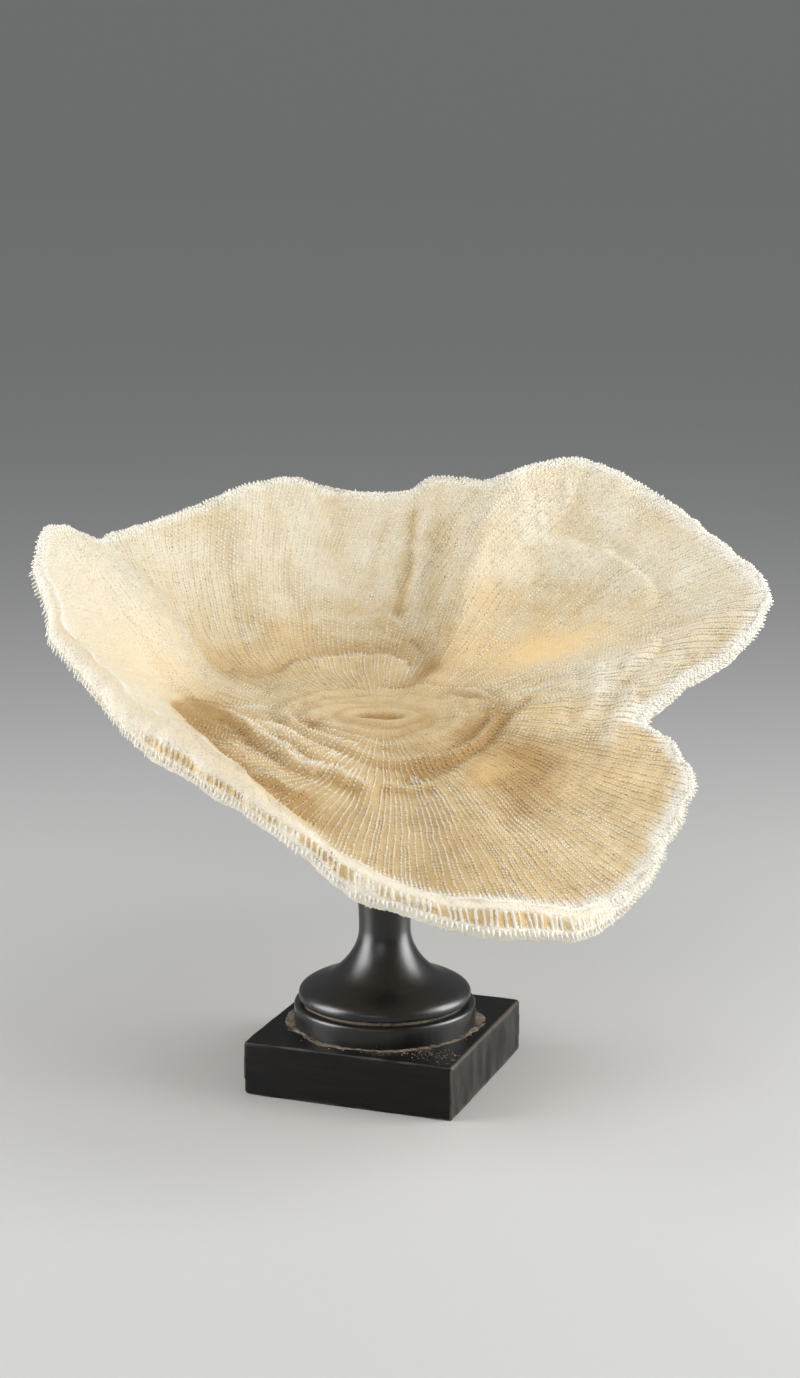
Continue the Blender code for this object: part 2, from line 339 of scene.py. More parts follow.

# Browner and paler places: centre in plan, radii, amount of brown (negative is paler)
BROWN_PATCHES = (
    ((-81, -26), (10, 17), 1.45),
    ((-76, -44), (20, 24), 0.27),
    ((-60, -72), (20, 18), 0.10),
    ((-28, -98), (30, 16), 0.08),
    ((10, -112), (44, 22), 0.04),
    ((22, 62), (9, 12), 0.35),
    ((61, -48), (13, 17), 0.72),
    ((43, -50), (8, 14), 0.45),
    ((66, -58), (14, 14), 0.05),
    ((74, 58), (7, 9), 0.30),
    ((84, 78), (30, 20), 0.10),
    ((-76, 114), (8, 8), 0.08),
    ((-10, 84), (44, 6), 0.22),
    ((-66, 60), (16, 12), 0.2),
    ((-72, 4), (9, 12), 0.2),
    ((-120, -6), (34, 34), -0.28),
    ((-60, 24), (18, 14), -0.12),
    ((-50, -38), (10, 8), -0.35),
    ((108, 18), (24, 18), -0.3),
    ((136, 20), (14, 14), -0.15),
    ((92, 0), (24, 20), -0.25),
    ((112, -50), (18, 30), -0.12),
    ((92, -78), (30, 30), -0.12),
    ((80, 50), (22, 14), -0.2),
)

# Painted glow: peach places that stand in for light shining through the thin skeleton: centre in plan, radii,
# amount
PAINTED_GLOWS = (
    ((80, 50), (22, 15), 1.15),
    ((66, 56), (12, 14), 0.5),
    ((43, -50), (8, 14), 0.4),
    ((-108, -10), (30, 34), 0.5),
    ((-62, 70), (24, 18), 0.3),
    ((46, 66), (16, 26), 0.35),
    ((104, -48), (12, 10), 0.4),
)

# Smooth places, where the septa are worn down: centre in plan, radii, amount
CALMS = (
    ((80, 48), (20, 13), 0.7),
    ((43, -50), (7, 13), 0.8),
    ((-3, -1), (18, 11), 0.6),
    ((-90, 50), (30, 30), 0.4),
    ((-80, -26), (14, 20), 0.45),
    ((-58, -70), (16, 18), 0.2),
)

# Camera, fitted to the photograph: its focal length is in pixels of the 800 x 1378 frame
CAMERA_AZIMUTH = 20.0
CAMERA_ELEVATION = 12.0
CAMERA_DISTANCE = 1174.0
CAMERA_TARGET_RIGHT = 7.0
CAMERA_TARGET_UP = 182.0
FRAME_HEIGHT_PIXELS = 1378
FOCAL_PIXELS = 2600
SENSOR_WIDTH = 36.0


def around(table, column, degrees):
    """A smooth closed curve through one column of a table, read at the given directions."""
    knots = np.array([row[0] for row in table], float)
    values = np.array([row[column] for row in table], float)
    knots = np.concatenate((knots[-2:] - FULL_TURN, knots, knots[:2] + FULL_TURN))
    values = np.concatenate((values[-2:], values, values[:2]))
    slopes = (values[2:] - values[:-2]) / (knots[2:] - knots[:-2])
    knots = knots[1:-1]
    values = values[1:-1]
    low = np.clip(np.searchsorted(knots, degrees, side="right") - 1, 0, len(knots) - 2)
    span = knots[low + 1] - knots[low]
    share = (degrees - knots[low]) / span
    return (
        values[low] * (1 + 2 * share) * (1 - share) ** 2
        + slopes[low] * span * share * (1 - share) ** 2
        + values[low + 1] * share ** 2 * (3 - 2 * share)
        - slopes[low + 1] * span * share ** 2 * (1 - share)
    )


def hermite(start, start_way, end, end_way, share):
    """A cubic between two points, with the way it leaves one and reaches the other."""
    return (
        start * (1 + 2 * share) * (1 - share) ** 2
        + start_way * share * (1 - share) ** 2
        + end * share ** 2 * (3 - 2 * share)
        - end_way * share ** 2 * (1 - share)
    )


def ease(value):
    """A smooth step from 0 to 1 as the value goes from 0 to 1."""
    share = np.clip(value, 0.0, 1.0)
    return share * share * (3 - 2 * share)


def profile(distance, places, values):
    """Values eased from one place to the next, and level beyond the first and the last."""
    result = np.full(np.shape(distance), float(values[0]))
    for index in range(1, len(places)):
        start = places[index - 1]
        share = ease((distance - start) / (places[index] - start))
        result = result + (values[index] - values[index - 1]) * share
    return result


def hump(distance, width, power=2):
    """A smooth hump: 1 at no distance, fading away over a width."""
    return np.exp(-(distance / width) ** power)


def oval(x, y, centre, radii):
    """A smooth oval hump in plan: 1 at its centre, fading away over its radii."""
    return np.exp(-(((x - centre[0]) / radii[0]) ** 2 + ((y - centre[1]) / radii[1]) ** 2))


def facing(degrees, direction):
    """1 in a direction, 0 square to it and -1 opposite."""
    return np.cos(np.radians(degrees - direction))


def turned_from(degrees, direction):
    """How far directions are turned from a given one, from -180 to 180 degrees."""
    return (degrees - direction + FULL_TURN / 2) % FULL_TURN - FULL_TURN / 2


def column_at(degrees):
    """The place among the skin's columns, whole or between two, of a direction."""
    return degrees * COLUMNS / FULL_TURN


def nearest_column(degrees):
    """The whole column of the skin that is nearest to a direction."""
    return int(round(column_at(degrees))) % COLUMNS


def girth(ring):
    """The length once round a closed ring of points."""
    return np.linalg.norm(np.roll(ring, -1, axis=0) - ring, axis=-1).sum()


def waver(points, size, seed):
    """Smooth random values from about -1 to 1 that change over one size, at points in space."""
    cells = 32
    lattice = np.random.default_rng(seed).uniform(-1.0, 1.0, (cells, cells, cells))
    place = np.asarray(points, float) / size
    low = np.floor(place).astype(int)
    share = place - low
    share = share * share * (3 - 2 * share)
    total = np.zeros(place.shape[:-1])
    for corner in itertools.product((0, 1), repeat=3):
        weight = np.prod(np.where(corner, share, 1 - share), axis=-1)
        cell = (low + corner) % cells
        total = total + weight * lattice[cell[..., 0], cell[..., 1], cell[..., 2]]
    return total


def unit(vectors):
    """Vectors brought to length 1."""
    return vectors / np.maximum(np.linalg.norm(vectors, axis=-1, keepdims=True), 1e-9)


def cup_surface(degrees, share):
    """The reach and rise of the cup's inner face, from its middle (share 0) to its crest (share 1)."""
    drop = around(LIP, 1, degrees)
    roll = around(LIP, 2, degrees)
    rim = np.array((around(RIM, 1, degrees) - roll, around(RIM, 2, degrees) + drop))
    foot = np.array((around(SECTIONS, 1, degrees), around(SECTIONS, 2, degrees)))
    out_up = np.array((around(SECTIONS, 3, degrees), around(SECTIONS, 4, degrees)))
    middle = foot + (rim - foot) * out_up
    lengths = [np.hypot(*foot), np.hypot(*(middle - foot)), np.hypot(*(rim - middle))]
    total = lengths[0] + lengths[1] + lengths[2]
    foot_at = lengths[0] / total
    middle_at = (lengths[0] + lengths[1]) / total
    foot_way = middle / middle_at
    middle_way = (rim - foot) / (1 - foot_at)
    rim_way = (rim - middle) / (1 - middle_at)
    tilt = foot[0] * FLOOR_TILT * np.cos(np.radians(degrees - FLOOR_TILT_DIRECTION))
    floor = hermite(0 * foot, np.array((foot[0], tilt)), foot, foot_way * foot_at, share / foot_at)
    run = middle_at - foot_at
    lower = hermite(foot, foot_way * run, middle, middle_way * run, (share - foot_at) / run)
    run = 1 - middle_at
    upper = hermite(middle, middle_way * run, rim, rim_way * run, (share - middle_at) / run)
    return np.where(share < foot_at, floor, np.where(share < middle_at, lower, upper))


def under_surface(degrees, inward):
    """Reach and rise of one ring of the underside, from the fringe (0) in to the stalk (1)."""
    share = 1 - (1 - STALK_SHARE) * inward
    reach, rise = cup_surface(degrees, share)
    near_reach, near_rise = cup_surface(degrees, share - SLOPE_STEP)
    slope = np.arctan2(rise - near_rise, reach - near_reach)
    thickness = np.interp(inward, UNDER_PLACES, UNDER_THICKNESSES)
    under_reach = reach + thickness * np.sin(slope)
    under_rise = rise - thickness * np.cos(slope)
    hug = max(0.0, 1 - inward / FRINGE_REACH)
    fringe_reach = around(RIM, 1, degrees) - FRINGE_INSET
    fringe_rise = around(RIM, 2, degrees) - FRINGE_THICKNESS
    return (
        under_reach + (fringe_reach - under_reach) * hug,
        under_rise + (fringe_rise - under_rise) * hug,
    )


def plain_rows(degrees):
    """Reach and rise of every row of the skin before it gets its relief."""
    still = 0 * degrees
    rows = [(still, still)]
    for index in range(1, INSIDE_ROWS + 1):
        rows.append(tuple(cup_surface(degrees, (index / INSIDE_ROWS) ** RING_SPREAD)))
    crest_reach, crest_rise = rows[-1]
    drop = around(LIP, 1, degrees)
    roll = around(LIP, 2, degrees)
    for index in range(1, LIP_ROWS + 1):
        turn = math.pi / 2 * index / LIP_ROWS
        rows.append((crest_reach + roll * math.sin(turn), crest_rise - drop * (1 - math.cos(turn))))
    for index in range(UNDER_ROWS + 1):
        rows.append(under_surface(degrees, index / UNDER_ROWS))
    start_reach, start_rise = rows[-1]
    cut_rise = TOP_Z + GAP - CUP_Z
    for index in range(1, STALK_ROWS + 1):
        down = index / STALK_ROWS
        reach = STALK_RADIUS + (start_reach - STALK_RADIUS) * (1 - down) ** STALK_FLARE_POWER
        rows.append((reach, start_rise + (cut_rise - start_rise) * down))
    bore = still + PIN_RADIUS + GAP
    rows.append((bore, still + cut_rise))
    rows.append((bore, still + cut_rise + PIN_DEPTH))
    rows.append((still, still + cut_rise + PIN_DEPTH))
    return np.array([row[0] for row in rows]), np.array([row[1] for row in rows])


def smooth_line(places, steps=6):
    """Points on a smooth line through places in plan."""
    knots = np.array(places, float)
    ways = np.gradient(knots, axis=0)
    points = [knots[0]]
    for index in range(len(knots) - 1):
        for step in range(1, steps + 1):
            share = step / steps
            points.append(hermite(knots[index], ways[index], knots[index + 1], ways[index + 1], share))
    return np.array(points)


def to_line(x, y, places):
    """Distance of each place to a line, positive away from the cup's middle, and the share along it."""
    line = smooth_line(places)
    nearest = np.full(x.shape, np.inf)
    side = np.ones(x.shape)
    along = np.zeros(x.shape)
    for index, (start, end) in enumerate(zip(line, line[1:])):
        run = end - start
        share = np.clip(((x - start[0]) * run[0] + (y - start[1]) * run[1]) / (run @ run), 0, 1)
        near_x = start[0] + share * run[0]
        near_y = start[1] + share * run[1]
        off_x = x - near_x
        off_y = y - near_y
        distance = np.hypot(off_x, off_y)
        closer = distance < nearest
        nearest = np.where(closer, distance, nearest)
        side = np.where(closer, np.sign(off_x * near_x + off_y * near_y), side)
        along = np.where(closer, (index + share) / (len(line) - 1), along)
    return nearest * side, along


def fading_ends(along, length=0.18):
    """1 along the middle of a line, falling to 0 at both of its ends."""
    return ease(np.minimum(along, 1 - along) / length)


def add_plate_edges(x, y, ragged, relief, fields):
    """The edges of older growth plates: a raised edge with a painted highlight, and a drop beyond it with
    painted shade.
    """
    for places, rise, drop, inner, outer, brown, white in PLATE_EDGES:
        distance, along = to_line(x, y, places)
        distance = distance + ragged
        strength = fading_ends(along)
        relief += strength * profile(distance, (-inner, 0, 0.5 * outer, 1.4 * outer), (0, rise, -drop, 0))
        # Painted shade in the drop beyond the edge, and a painted highlight along the edge.
        fields["stain"] += brown * strength * profile(distance, (0, 0.4 * outer, 1.5 * outer), (0, 1, 0))
        fields["bleach"] += white * strength * profile(distance, (-6, -0.5, 2.5), (0, 1, 0))


def add_grooves(x, y, ragged, relief, fields):
    """Grooves with painted shade and ridges with a painted highlight, along lines in the plan."""
    for places, depth, width, brown, white in GROOVES:
        distance, along = to_line(x, y, places)
        shape = fading_ends(along) * hump(distance + 0.5 * ragged, width)
        relief -= depth * shape
        # Painted shade in the grooves and a painted highlight on the ridges.
        fields["stain"] += brown * shape
        fields["bleach"] += white * shape


def add_wall_foot(x, y, ragged, relief, fields):
    """The sharp foot of the smooth front left wall, with a browner floor against it and a paler foot of the
    wall.
    """
    distance, along = to_line(x, y, WALL_FOOT)
    distance = distance + 0.5 * ragged
    strength = WALL_FOOT_DEPTH * fading_ends(along, 0.25)
    relief += strength * profile(distance, (-13, -1.5, 1.5, 16), (0, -0.6, 0.4, 0))
    close = fading_ends(along, 0.2)
    fields["stain"] += 0.35 * close * profile(distance, (-20, -3, 0, 1.5), (0, 1, 1, 0))
    fields["stain"] -= 0.35 * close * profile(distance, (-0.5, 1.5), (0, 1))
    fields["calm"] += close * profile(distance, (-0.5, 2), (0, 1))


def ellipse_distance(x, y, centre, radii):
    """How far outside an oval each place is, measured along the ray from its centre."""
    off_x = x - centre[0]
    off_y = y - centre[1]
    ratio = np.maximum(np.hypot(off_x / radii[0], off_y / radii[1]), 1e-6)
    return (ratio - 1) * np.hypot(off_x, off_y) / ratio


def add_rings(x, y, ragged, relief, fields):
    """Growth rings round the middle of the cup, each with a painted highlight and painted shadow outside it,
    and the dimple in it with painted shade.
    """
    for centre, radii, rise, width, brown, strongest, weaker in RINGS:
        distance = ellipse_distance(x, y, centre, radii) + 0.4 * ragged
        turned = np.arctan2(y - centre[1], x - centre[0]) - math.radians(strongest)
        strength = 1 - weaker * (1 - np.cos(turned)) / 2
        relief += strength * rise * hump(distance, width)
        relief -= strength * 0.8 * rise * hump(distance - 1.8 * width, width)
        # Painted shadow outside each ring, and a painted highlight along it.
        fields["stain"] += strength * brown * hump(distance - 1.7 * width, width)
        fields["bleach"] += strength * 0.3 * hump(distance, 0.6 * width)
    centre, radii, depth = DIMPLE
    distance = ellipse_distance(x, y, centre, radii)
    relief += profile(distance, (-4.5, -0.5), (-depth, 0))
    # Painted shade in the dimple.
    fields["stain"] += profile(distance, (-4.0, -0.5), (0.75, 0))


def add_pleats(degrees, shares, relief, fields):
    """Narrow pleats that run up the back wall, with painted shade in their grooves."""
    for direction, depth, width in PLEATS:
        turned = turned_from(degrees, direction)
        shape = hump(turned, width) * profile(shares, (0.5, 0.7, 0.96, 1.0), (0, 1, 1, 0.8))
        relief -= depth * shape
        # Painted shade in the grooves of the pleats.
        fields["stain"] += 0.10 * max(depth, 0.0) * shape


def add_tints(x, y, fields):
    """Browner and paler places, peach places of painted glow, and smooth places on the inner face."""
    for name, places in (("stain", BROWN_PATCHES), ("warmth", PAINTED_GLOWS), ("calm", CALMS)):
        for centre, radii, amount in places:
            fields[name] += amount * oval(x, y, centre, radii)


class Skin:
    """The coral's whole skin as rows of points in millimetres, with its normals and colour fields."""

    def __init__(self):
        self.degrees = np.arange(COLUMNS) * FULL_TURN / COLUMNS
        self.reach, self.rise = plain_rows(self.degrees)
        self.shares = np.ones(len(self.reach))
        self.shares[: CREST_ROW + 1] = (np.arange(CREST_ROW + 1) / INSIDE_ROWS) ** RING_SPREAD
        self.points = self.placed()
        self.measure()
        self.reach = self.reach + self.scallops()
        self.points = self.placed()
        self.measure()
        self.add_relief()
        self.measure()
        self.rim_directions = self.even_directions()

    def placed(self):
        """The rows and columns of the skin in the shared frame."""
        angle = np.radians(self.degrees + CORAL_TURN)
        return np.stack((self.reach * np.cos(angle), self.reach * np.sin(angle), CUP_Z + self.rise), axis=-1)

    def scallops(self):
        """Small bays and knobs of the margin, fading away from it on both sides."""
        crest = self.points[CREST_ROW]
        outline = 1.6 * waver(crest, 11.0, 36) + 0.9 * waver(crest, 5.0, 37)
        away = np.abs(self.to_crest) - (self.travel > self.travel[CREST_ROW]) * 8.0
        return outline * (1 - ease(away / 14.0))

    def measure(self):
        """Travel along each column from the cup's middle, and the normals and ways of the skin."""
        steps = np.linalg.norm(np.diff(self.points, axis=0), axis=-1)
        self.travel = np.vstack((np.zeros(COLUMNS), np.cumsum(steps, axis=0)))
        self.to_crest = self.travel[CREST_ROW] - self.travel
        outward = np.gradient(self.points, axis=0)
        onward = (np.roll(self.points, -1, axis=1) - np.roll(self.points, 1, axis=1)) / 2
        onward[0] = onward[1]
        onward[-1] = onward[-2]
        self.outward = unit(outward)
        self.normals = unit(np.cross(outward, onward))

    def add_relief(self):
        """Relief and colour fields, first of the inner face, then of the lip, then of the underside."""
        angle = np.radians(self.degrees)
        x = self.reach * np.cos(angle)
        y = self.reach * np.sin(angle)
        relief = np.zeros(self.reach.shape)
        # Colour fields: brown, partly the coral's own tone and partly painted shade in creases, drops and the
        # dimple; white, partly the margin's own white and partly painted highlight on edges, rings and
        # ridges; peach, a warm tint with painted glow; and calm, where the septa are worn down.
        self.fields = {name: np.zeros(self.reach.shape) for name in ("stain", "bleach", "warmth", "calm")}
        inside = slice(0, CREST_ROW + 1)
        self.shape_inside(x[inside], y[inside], relief[inside], self.fields_of(inside))
        self.shape_lip(relief)
        self.shape_underside(relief)
        relief[0] = relief[1].mean()
        relief[STALK_ROW + 1:] = 0.0
        self.points = self.points + self.normals * relief[..., None]

    def fields_of(self, rows):
        """The colour fields of some rows, as views that can be added to."""
        return {name: values[rows] for name, values in self.fields.items()}

    def shape_inside(self, x, y, relief, fields):
        """The cup's inner face: growth rings, plate edges, grooves, pleats, ripples and tints."""
        rows = relief.shape[0]
        points = self.points[:rows]
        rise = self.rise[:rows]
        ragged = 1.6 * waver(points, 5.0, 3) + 1.2 * waver(points, 11.0, 4)
        add_plate_edges(x, y, ragged, relief, fields)
        add_grooves(x, y, ragged, relief, fields)
        add_wall_foot(x, y, ragged, relief, fields)
        add_rings(x, y, ragged, relief, fields)
        add_pleats(self.degrees, self.shares[:rows, None], relief, fields)
        add_tints(x + 3 * waver(points, 9.0, 5), y + 3 * waver(points, 9.0, 6), fields)
        front = ease((facing(self.degrees, FRONT_DIRECTION) + 0.25) / 0.9)
        away = ease(self.shares[:rows, None] / 0.15)
        relief += away * (0.35 + 0.15 * front) * waver(points, 7.0, 7)
        relief += away * 0.9 * waver(points, 19.0, 8)
        relief += 0.45 * oval(x, y, LUMPS_CENTRE, LUMPS_RADII) * waver(points, 3.6, 34)
        ripple = np.sin(self.travel[:rows] / 1.25 + 2.4 * waver(points, 30.0, 9))
        relief += away * (0.08 + 0.10 * front) * ripple
        high = ease((self.shares[:rows, None] - 0.42) / 0.2)
        left_wall = hump(self.degrees - LEFT_WALL_DIRECTION, LEFT_WALL_SPREAD) * high
        back_wall = hump(self.degrees - BACK_WALL_DIRECTION, BACK_WALL_SPREAD) * high
        relief += 0.9 * (back_wall + 0.4 * left_wall) * waver(points * (1, 1, 0.16), 6.0, 33)
        relief += 0.35 * left_wall * waver(points, 3.0, 46)
        fields["calm"] += 0.4 * left_wall
        wall = profile(rise, (2, 22, 55), (0.0, 0.22, 0.42))
        fields["stain"] += 0.465 + 0.06 * front - wall - 0.1 * left_wall
        fields["stain"] += 0.10 * waver(points, 16.0, 10) + 0.08 * waver(points, 6.0, 11)
        fields["warmth"] += 0.05 - 0.12 * back_wall + 0.15 * waver(points, 24.0, 12)
        narrow = hump(self.degrees - NARROW_BAND_DIRECTION, NARROW_BAND_SPREAD, 4)
        broad = ease((facing(self.degrees, BROAD_BAND_DIRECTION) - 0.3) / 0.5)
        band = (7.5 + 6.0 * broad + 2.0 * waver(points, 6.0, 13)) * (1 - 0.75 * narrow)
        fields["bleach"] += (1 - np.clip(self.to_crest[:rows] / band, 0, 1)) ** 1.5

    def shape_lip(self, relief):
        """The rolled lip: smooth and white, with a broken row of shallow pits below its crest."""
        rows = slice(CREST_ROW + 1, UNDER_ROW + 1)
        count = LIP_ROWS + 1
        turn = (np.arange(1, count + 1) / LIP_ROWS)[:, None]
        points = self.points[rows]
        drop = around(LIP, 1, self.degrees)
        open_lip = ease((drop - 3.5) / 4.0)
        pitted = open_lip * ease((self.degrees - PITS_FROM) / 12)
        broken = 0.3 + 0.7 * ease((waver(points, 13.0, 17) + 0.5 * waver(points, 4.0, 45) + 0.5) / 0.8)
        steep = ease((self.degrees - STEEP_FROM) / 14)
        low_bars = ease((self.degrees - LOW_BARS_FROM) / 12)
        upper = 0.62 - 0.27 * steep
        lower = 0.92 - 0.12 * steep + 0.10 * low_bars
        channel = pitted * broken * ease((turn - upper) / 0.12) * ease((lower - turn) / 0.12)
        relief[rows] += 0.8 * waver(points, 6.0, 14) + 0.6 * waver(points, 14.0, 15) - PIT_DEPTH * channel
        relief[rows] += 0.4 * waver(points, 2.2, 35)
        relief[CREST_ROW] += 0.6 * open_lip * waver(self.points[CREST_ROW], 3.0, 16)
        self.hollow = np.zeros(self.reach.shape)
        self.hollow[rows] = PIT_DEPTH * channel
        self.fields["stain"][rows] += 0.12 + 0.36 * channel
        self.fields["bleach"][rows] += 1 - (0.86 - 0.2 * low_bars) * channel
        # Peach on the lip: a warm tint with painted glow, most in its pits.
        self.fields["warmth"][rows] += 0.22 + 0.4 * channel
        cream = open_lip * (1 - 0.3 * steep) * profile(turn, (0.1, 0.8), (0.68, 0.4))
        self.fields["bleach"][rows] -= cream
        self.fields["bleach"][CREST_ROW] -= 0.68 * open_lip * (1 - 0.3 * steep)
        self.bare = np.zeros(self.reach.shape)
        self.bare[rows] = open_lip * profile(turn, (0.5, 0.8), (0.85, 0.6))
        self.bare[CREST_ROW - 1: CREST_ROW + 1] = 0.85 * open_lip

    def shape_underside(self, relief):
        """The underside: concentric wrinkles of growth, low lumps and an old, weathered colour."""
        rows = slice(UNDER_ROW + 1, STALK_ROW + 1)
        points = self.points[rows]
        inward = (np.arange(1, UNDER_ROWS + 1) / UNDER_ROWS)[:, None]
        fade = ease(inward / 0.1) * ease((1.0 - inward) / 0.1)
        wrinkle = np.sin((self.travel[rows] - self.travel[UNDER_ROW]) / 2.6 + 2.0 * waver(points, 26.0, 18))
        relief[rows] += fade * (0.45 * wrinkle + 1.3 * waver(points, 22.0, 19) + 0.5 * waver(points, 8.0, 20))
        self.fields["bleach"][rows] += 1 - ease(inward / 0.12)
        self.fields["stain"][rows] += 0.25 + 0.22 * wrinkle * fade + 0.35 * waver(points, 30.0, 21)
        self.fields["stain"][STALK_ROW:] += 0.35
        self.fields["calm"][rows] += 0.3

    def even_directions(self):
        """Directions that part the crest into equal lengths, one for each column and one to close it."""
        crest = self.points[CREST_ROW]
        steps = np.linalg.norm(np.roll(crest, -1, axis=0) - crest, axis=-1)
        reached = np.concatenate(([0.0], np.cumsum(steps)))
        even = np.linspace(0.0, reached[-1], COLUMNS + 1)
        return np.interp(even, reached, np.append(self.degrees, FULL_TURN))

    def even_direction(self, share):
        """The direction at a share of the crest's length."""
        return np.interp(share * COLUMNS, np.arange(COLUMNS + 1), self.rim_directions)

    def at(self, values, column, row):
        """Values of the skin, such as its points, read between columns and rows."""
        column = np.asarray(column, float) % COLUMNS
        low = np.floor(column).astype(int) % COLUMNS
        next_low = (low + 1) % COLUMNS
        above = np.clip(np.floor(row).astype(int), 0, len(values) - 2)
        side = column - np.floor(column)
        down = row - above
        if values.ndim == 3:
            side = side[..., None]
            down = down[..., None]
        first = values[above, low] * (1 - side) + values[above, next_low] * side
        second = values[above + 1, low] * (1 - side) + values[above + 1, next_low] * side
        return first * (1 - down) + second * down


@functools.lru_cache(maxsize=1)
def coral_skin():
    """The coral's skin, worked out once."""
    return Skin()


def halving(index):
    """A share of the turn for each new line, each halving the widest gap (the van der Corput sequence)."""
    share = 0.0
    part = 0.5
    while index:
        share += part * (index & 1)
        index >>= 1
        part /= 2
    return share


class Strips:
    """Toothed ridges joined in one mesh: each has two feet in the skin and a crest, and closed ends."""

    def __init__(self):
        self.points = []
        self.quads = []
        self.triangles = []
        self.fields = {name: [] for name in ("stain", "bleach", "warmth", "tip")}
        self.count = 0

    def add(self, skin, columns, rows, heights, half_widths, white, tips, sideways=0.0):
        """One ridge over the given columns and rows of the skin."""
        places = skin.at(skin.points, columns, rows)
        normals = unit(skin.at(skin.normals, columns, rows))
        ways = unit(np.gradient(places, axis=0))
        sides = unit(np.cross(normals, ways))
        sunk = places - normals * STRIP_FOOT_DEPTH
        half = half_widths[:, None]
        crest = places + normals * heights[:, None] + sides * np.reshape(sideways, (-1, 1))
        count = len(places)
        self.points += [sunk + sides * half, crest, sunk - sides * half]
        left = self.count + np.arange(count)
        top = left + count
        right = top + count
        for first, second in ((left, top), (top, right), (right, left)):
            self.quads.append(np.stack((first[:-1], second[:-1], second[1:], first[1:]), axis=-1))
        self.triangles.append(np.array(((left[0], right[0], top[0]), (left[-1], top[-1], right[-1]))))
        self.count += 3 * count
        for name in ("stain", "bleach", "warmth"):
            values = skin.at(skin.fields[name], columns, rows)
            if name == "bleach":
                values = values + white
            self.fields[name] += [values, values, values]
        self.fields["tip"] += [np.zeros(count), tips, np.zeros(count)]


def clear_selection():
    """Leave edit mode and deselect everything, because an operator acts on all that is selected."""
    if bpy.context.object and bpy.context.object.mode != "OBJECT":
        bpy.ops.object.mode_set(mode="OBJECT")
    bpy.ops.object.select_all(action="DESELECT")


def pick(piece):
    """Make one piece the only selected one, and the active one."""
    clear_selection()
    piece.select_set(True)
    bpy.context.view_layer.objects.active = piece


def set_fields(mesh, fields):
    """Store numbers on a mesh's points, for its material to read."""
    for name, values in fields.items():
        layer = mesh.attributes.new(name, "FLOAT", "POINT")
        layer.data.foreach_set("value", np.asarray(values, np.float32).ravel())


def joined_piece(name, parts):
    """One object from many small closed shapes in millimetres, gathered as Strips or Copies."""
    faces = [np.concatenate(part) for part in (parts.quads, parts.triangles)]
    corners = np.concatenate([part.ravel() for part in faces])
    sizes = np.concatenate([np.full(len(part), part.shape[1]) for part in faces])
    starts = np.concatenate(([0], np.cumsum(sizes)[:-1]))
    places = np.concatenate(parts.points) * MM
    mesh = bpy.data.meshes.new(name)
    mesh.vertices.add(len(places))
    mesh.vertices.foreach_set("co", places.astype(np.float32).ravel())
    mesh.loops.add(len(corners))
    mesh.loops.foreach_set("vertex_index", corners.astype(np.int32))
    mesh.polygons.add(len(starts))
    mesh.polygons.foreach_set("loop_start", starts.astype(np.int32))
    mesh.update(calc_edges=True)
    mesh.validate()
    set_fields(mesh, {key: np.concatenate(values) for key, values in parts.fields.items()})
    piece = bpy.data.objects.new(name, mesh)
    bpy.context.scene.collection.objects.link(piece)
    pick(piece)
    bpy.ops.object.shade_smooth()
    return piece


def name_piece(piece, name):
    """Give a piece and its mesh the same name."""
    piece.name = name
    piece.data.name = name


def read_points(mesh):
    """A mesh's points as an array in metres."""
    flat = np.empty(len(mesh.vertices) * 3, np.float32)
    mesh.vertices.foreach_get("co", flat)
    return flat.reshape(-1, 3).astype(float)


def write_points(mesh, points):
    """Move a mesh's points to places in metres."""
    mesh.vertices.foreach_set("co", np.asarray(points, np.float32).ravel())
    mesh.update()


def close_up():
    """In edit mode, merge what coincides on the active piece and turn its faces outward."""
    bpy.ops.object.mode_set(mode="EDIT")
    bpy.ops.mesh.select_all(action="SELECT")
    bpy.ops.mesh.remove_doubles(threshold=MERGE_DISTANCE)
    bpy.ops.mesh.normals_make_consistent(inside=False)
    bpy.ops.object.mode_set(mode="OBJECT")


def wrapped_piece(name, points, fields):
    """One closed piece from a plane grid that is wrapped round, its first and last rows being points."""
    rows, columns = points.shape[:2]
    clear_selection()
    bpy.ops.mesh.primitive_grid_add(x_subdivisions=columns, y_subdivisions=rows - 1, size=2.0)
    piece = bpy.context.object
    name_piece(piece, name)
    flat = read_points(piece.data)
    column = np.rint((flat[:, 0] + 1) / 2 * columns).astype(int) % columns
    row = np.rint((flat[:, 1] + 1) / 2 * (rows - 1)).astype(int)
    write_points(piece.data, points[row, column] * MM)
    set_fields(piece.data, {key: values[row, column] for key, values in fields.items()})
    close_up()
    return piece


def finish_piece(piece, material, slot, *nodes):
    """Give a piece its material, the body it rides on and the CAD nodes it stands for; its slot is not used.
    """
    piece.data.materials.clear()
    piece.data.materials.append(material)
    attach(piece, "root")
    if nodes:
        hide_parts(*nodes)


def finish_coral(piece):
    """Give a piece that stands on the coral's skin the finish of that skin."""
    finish_piece(piece, bpy.data.materials["chalky_coral"], "coral_skeleton")


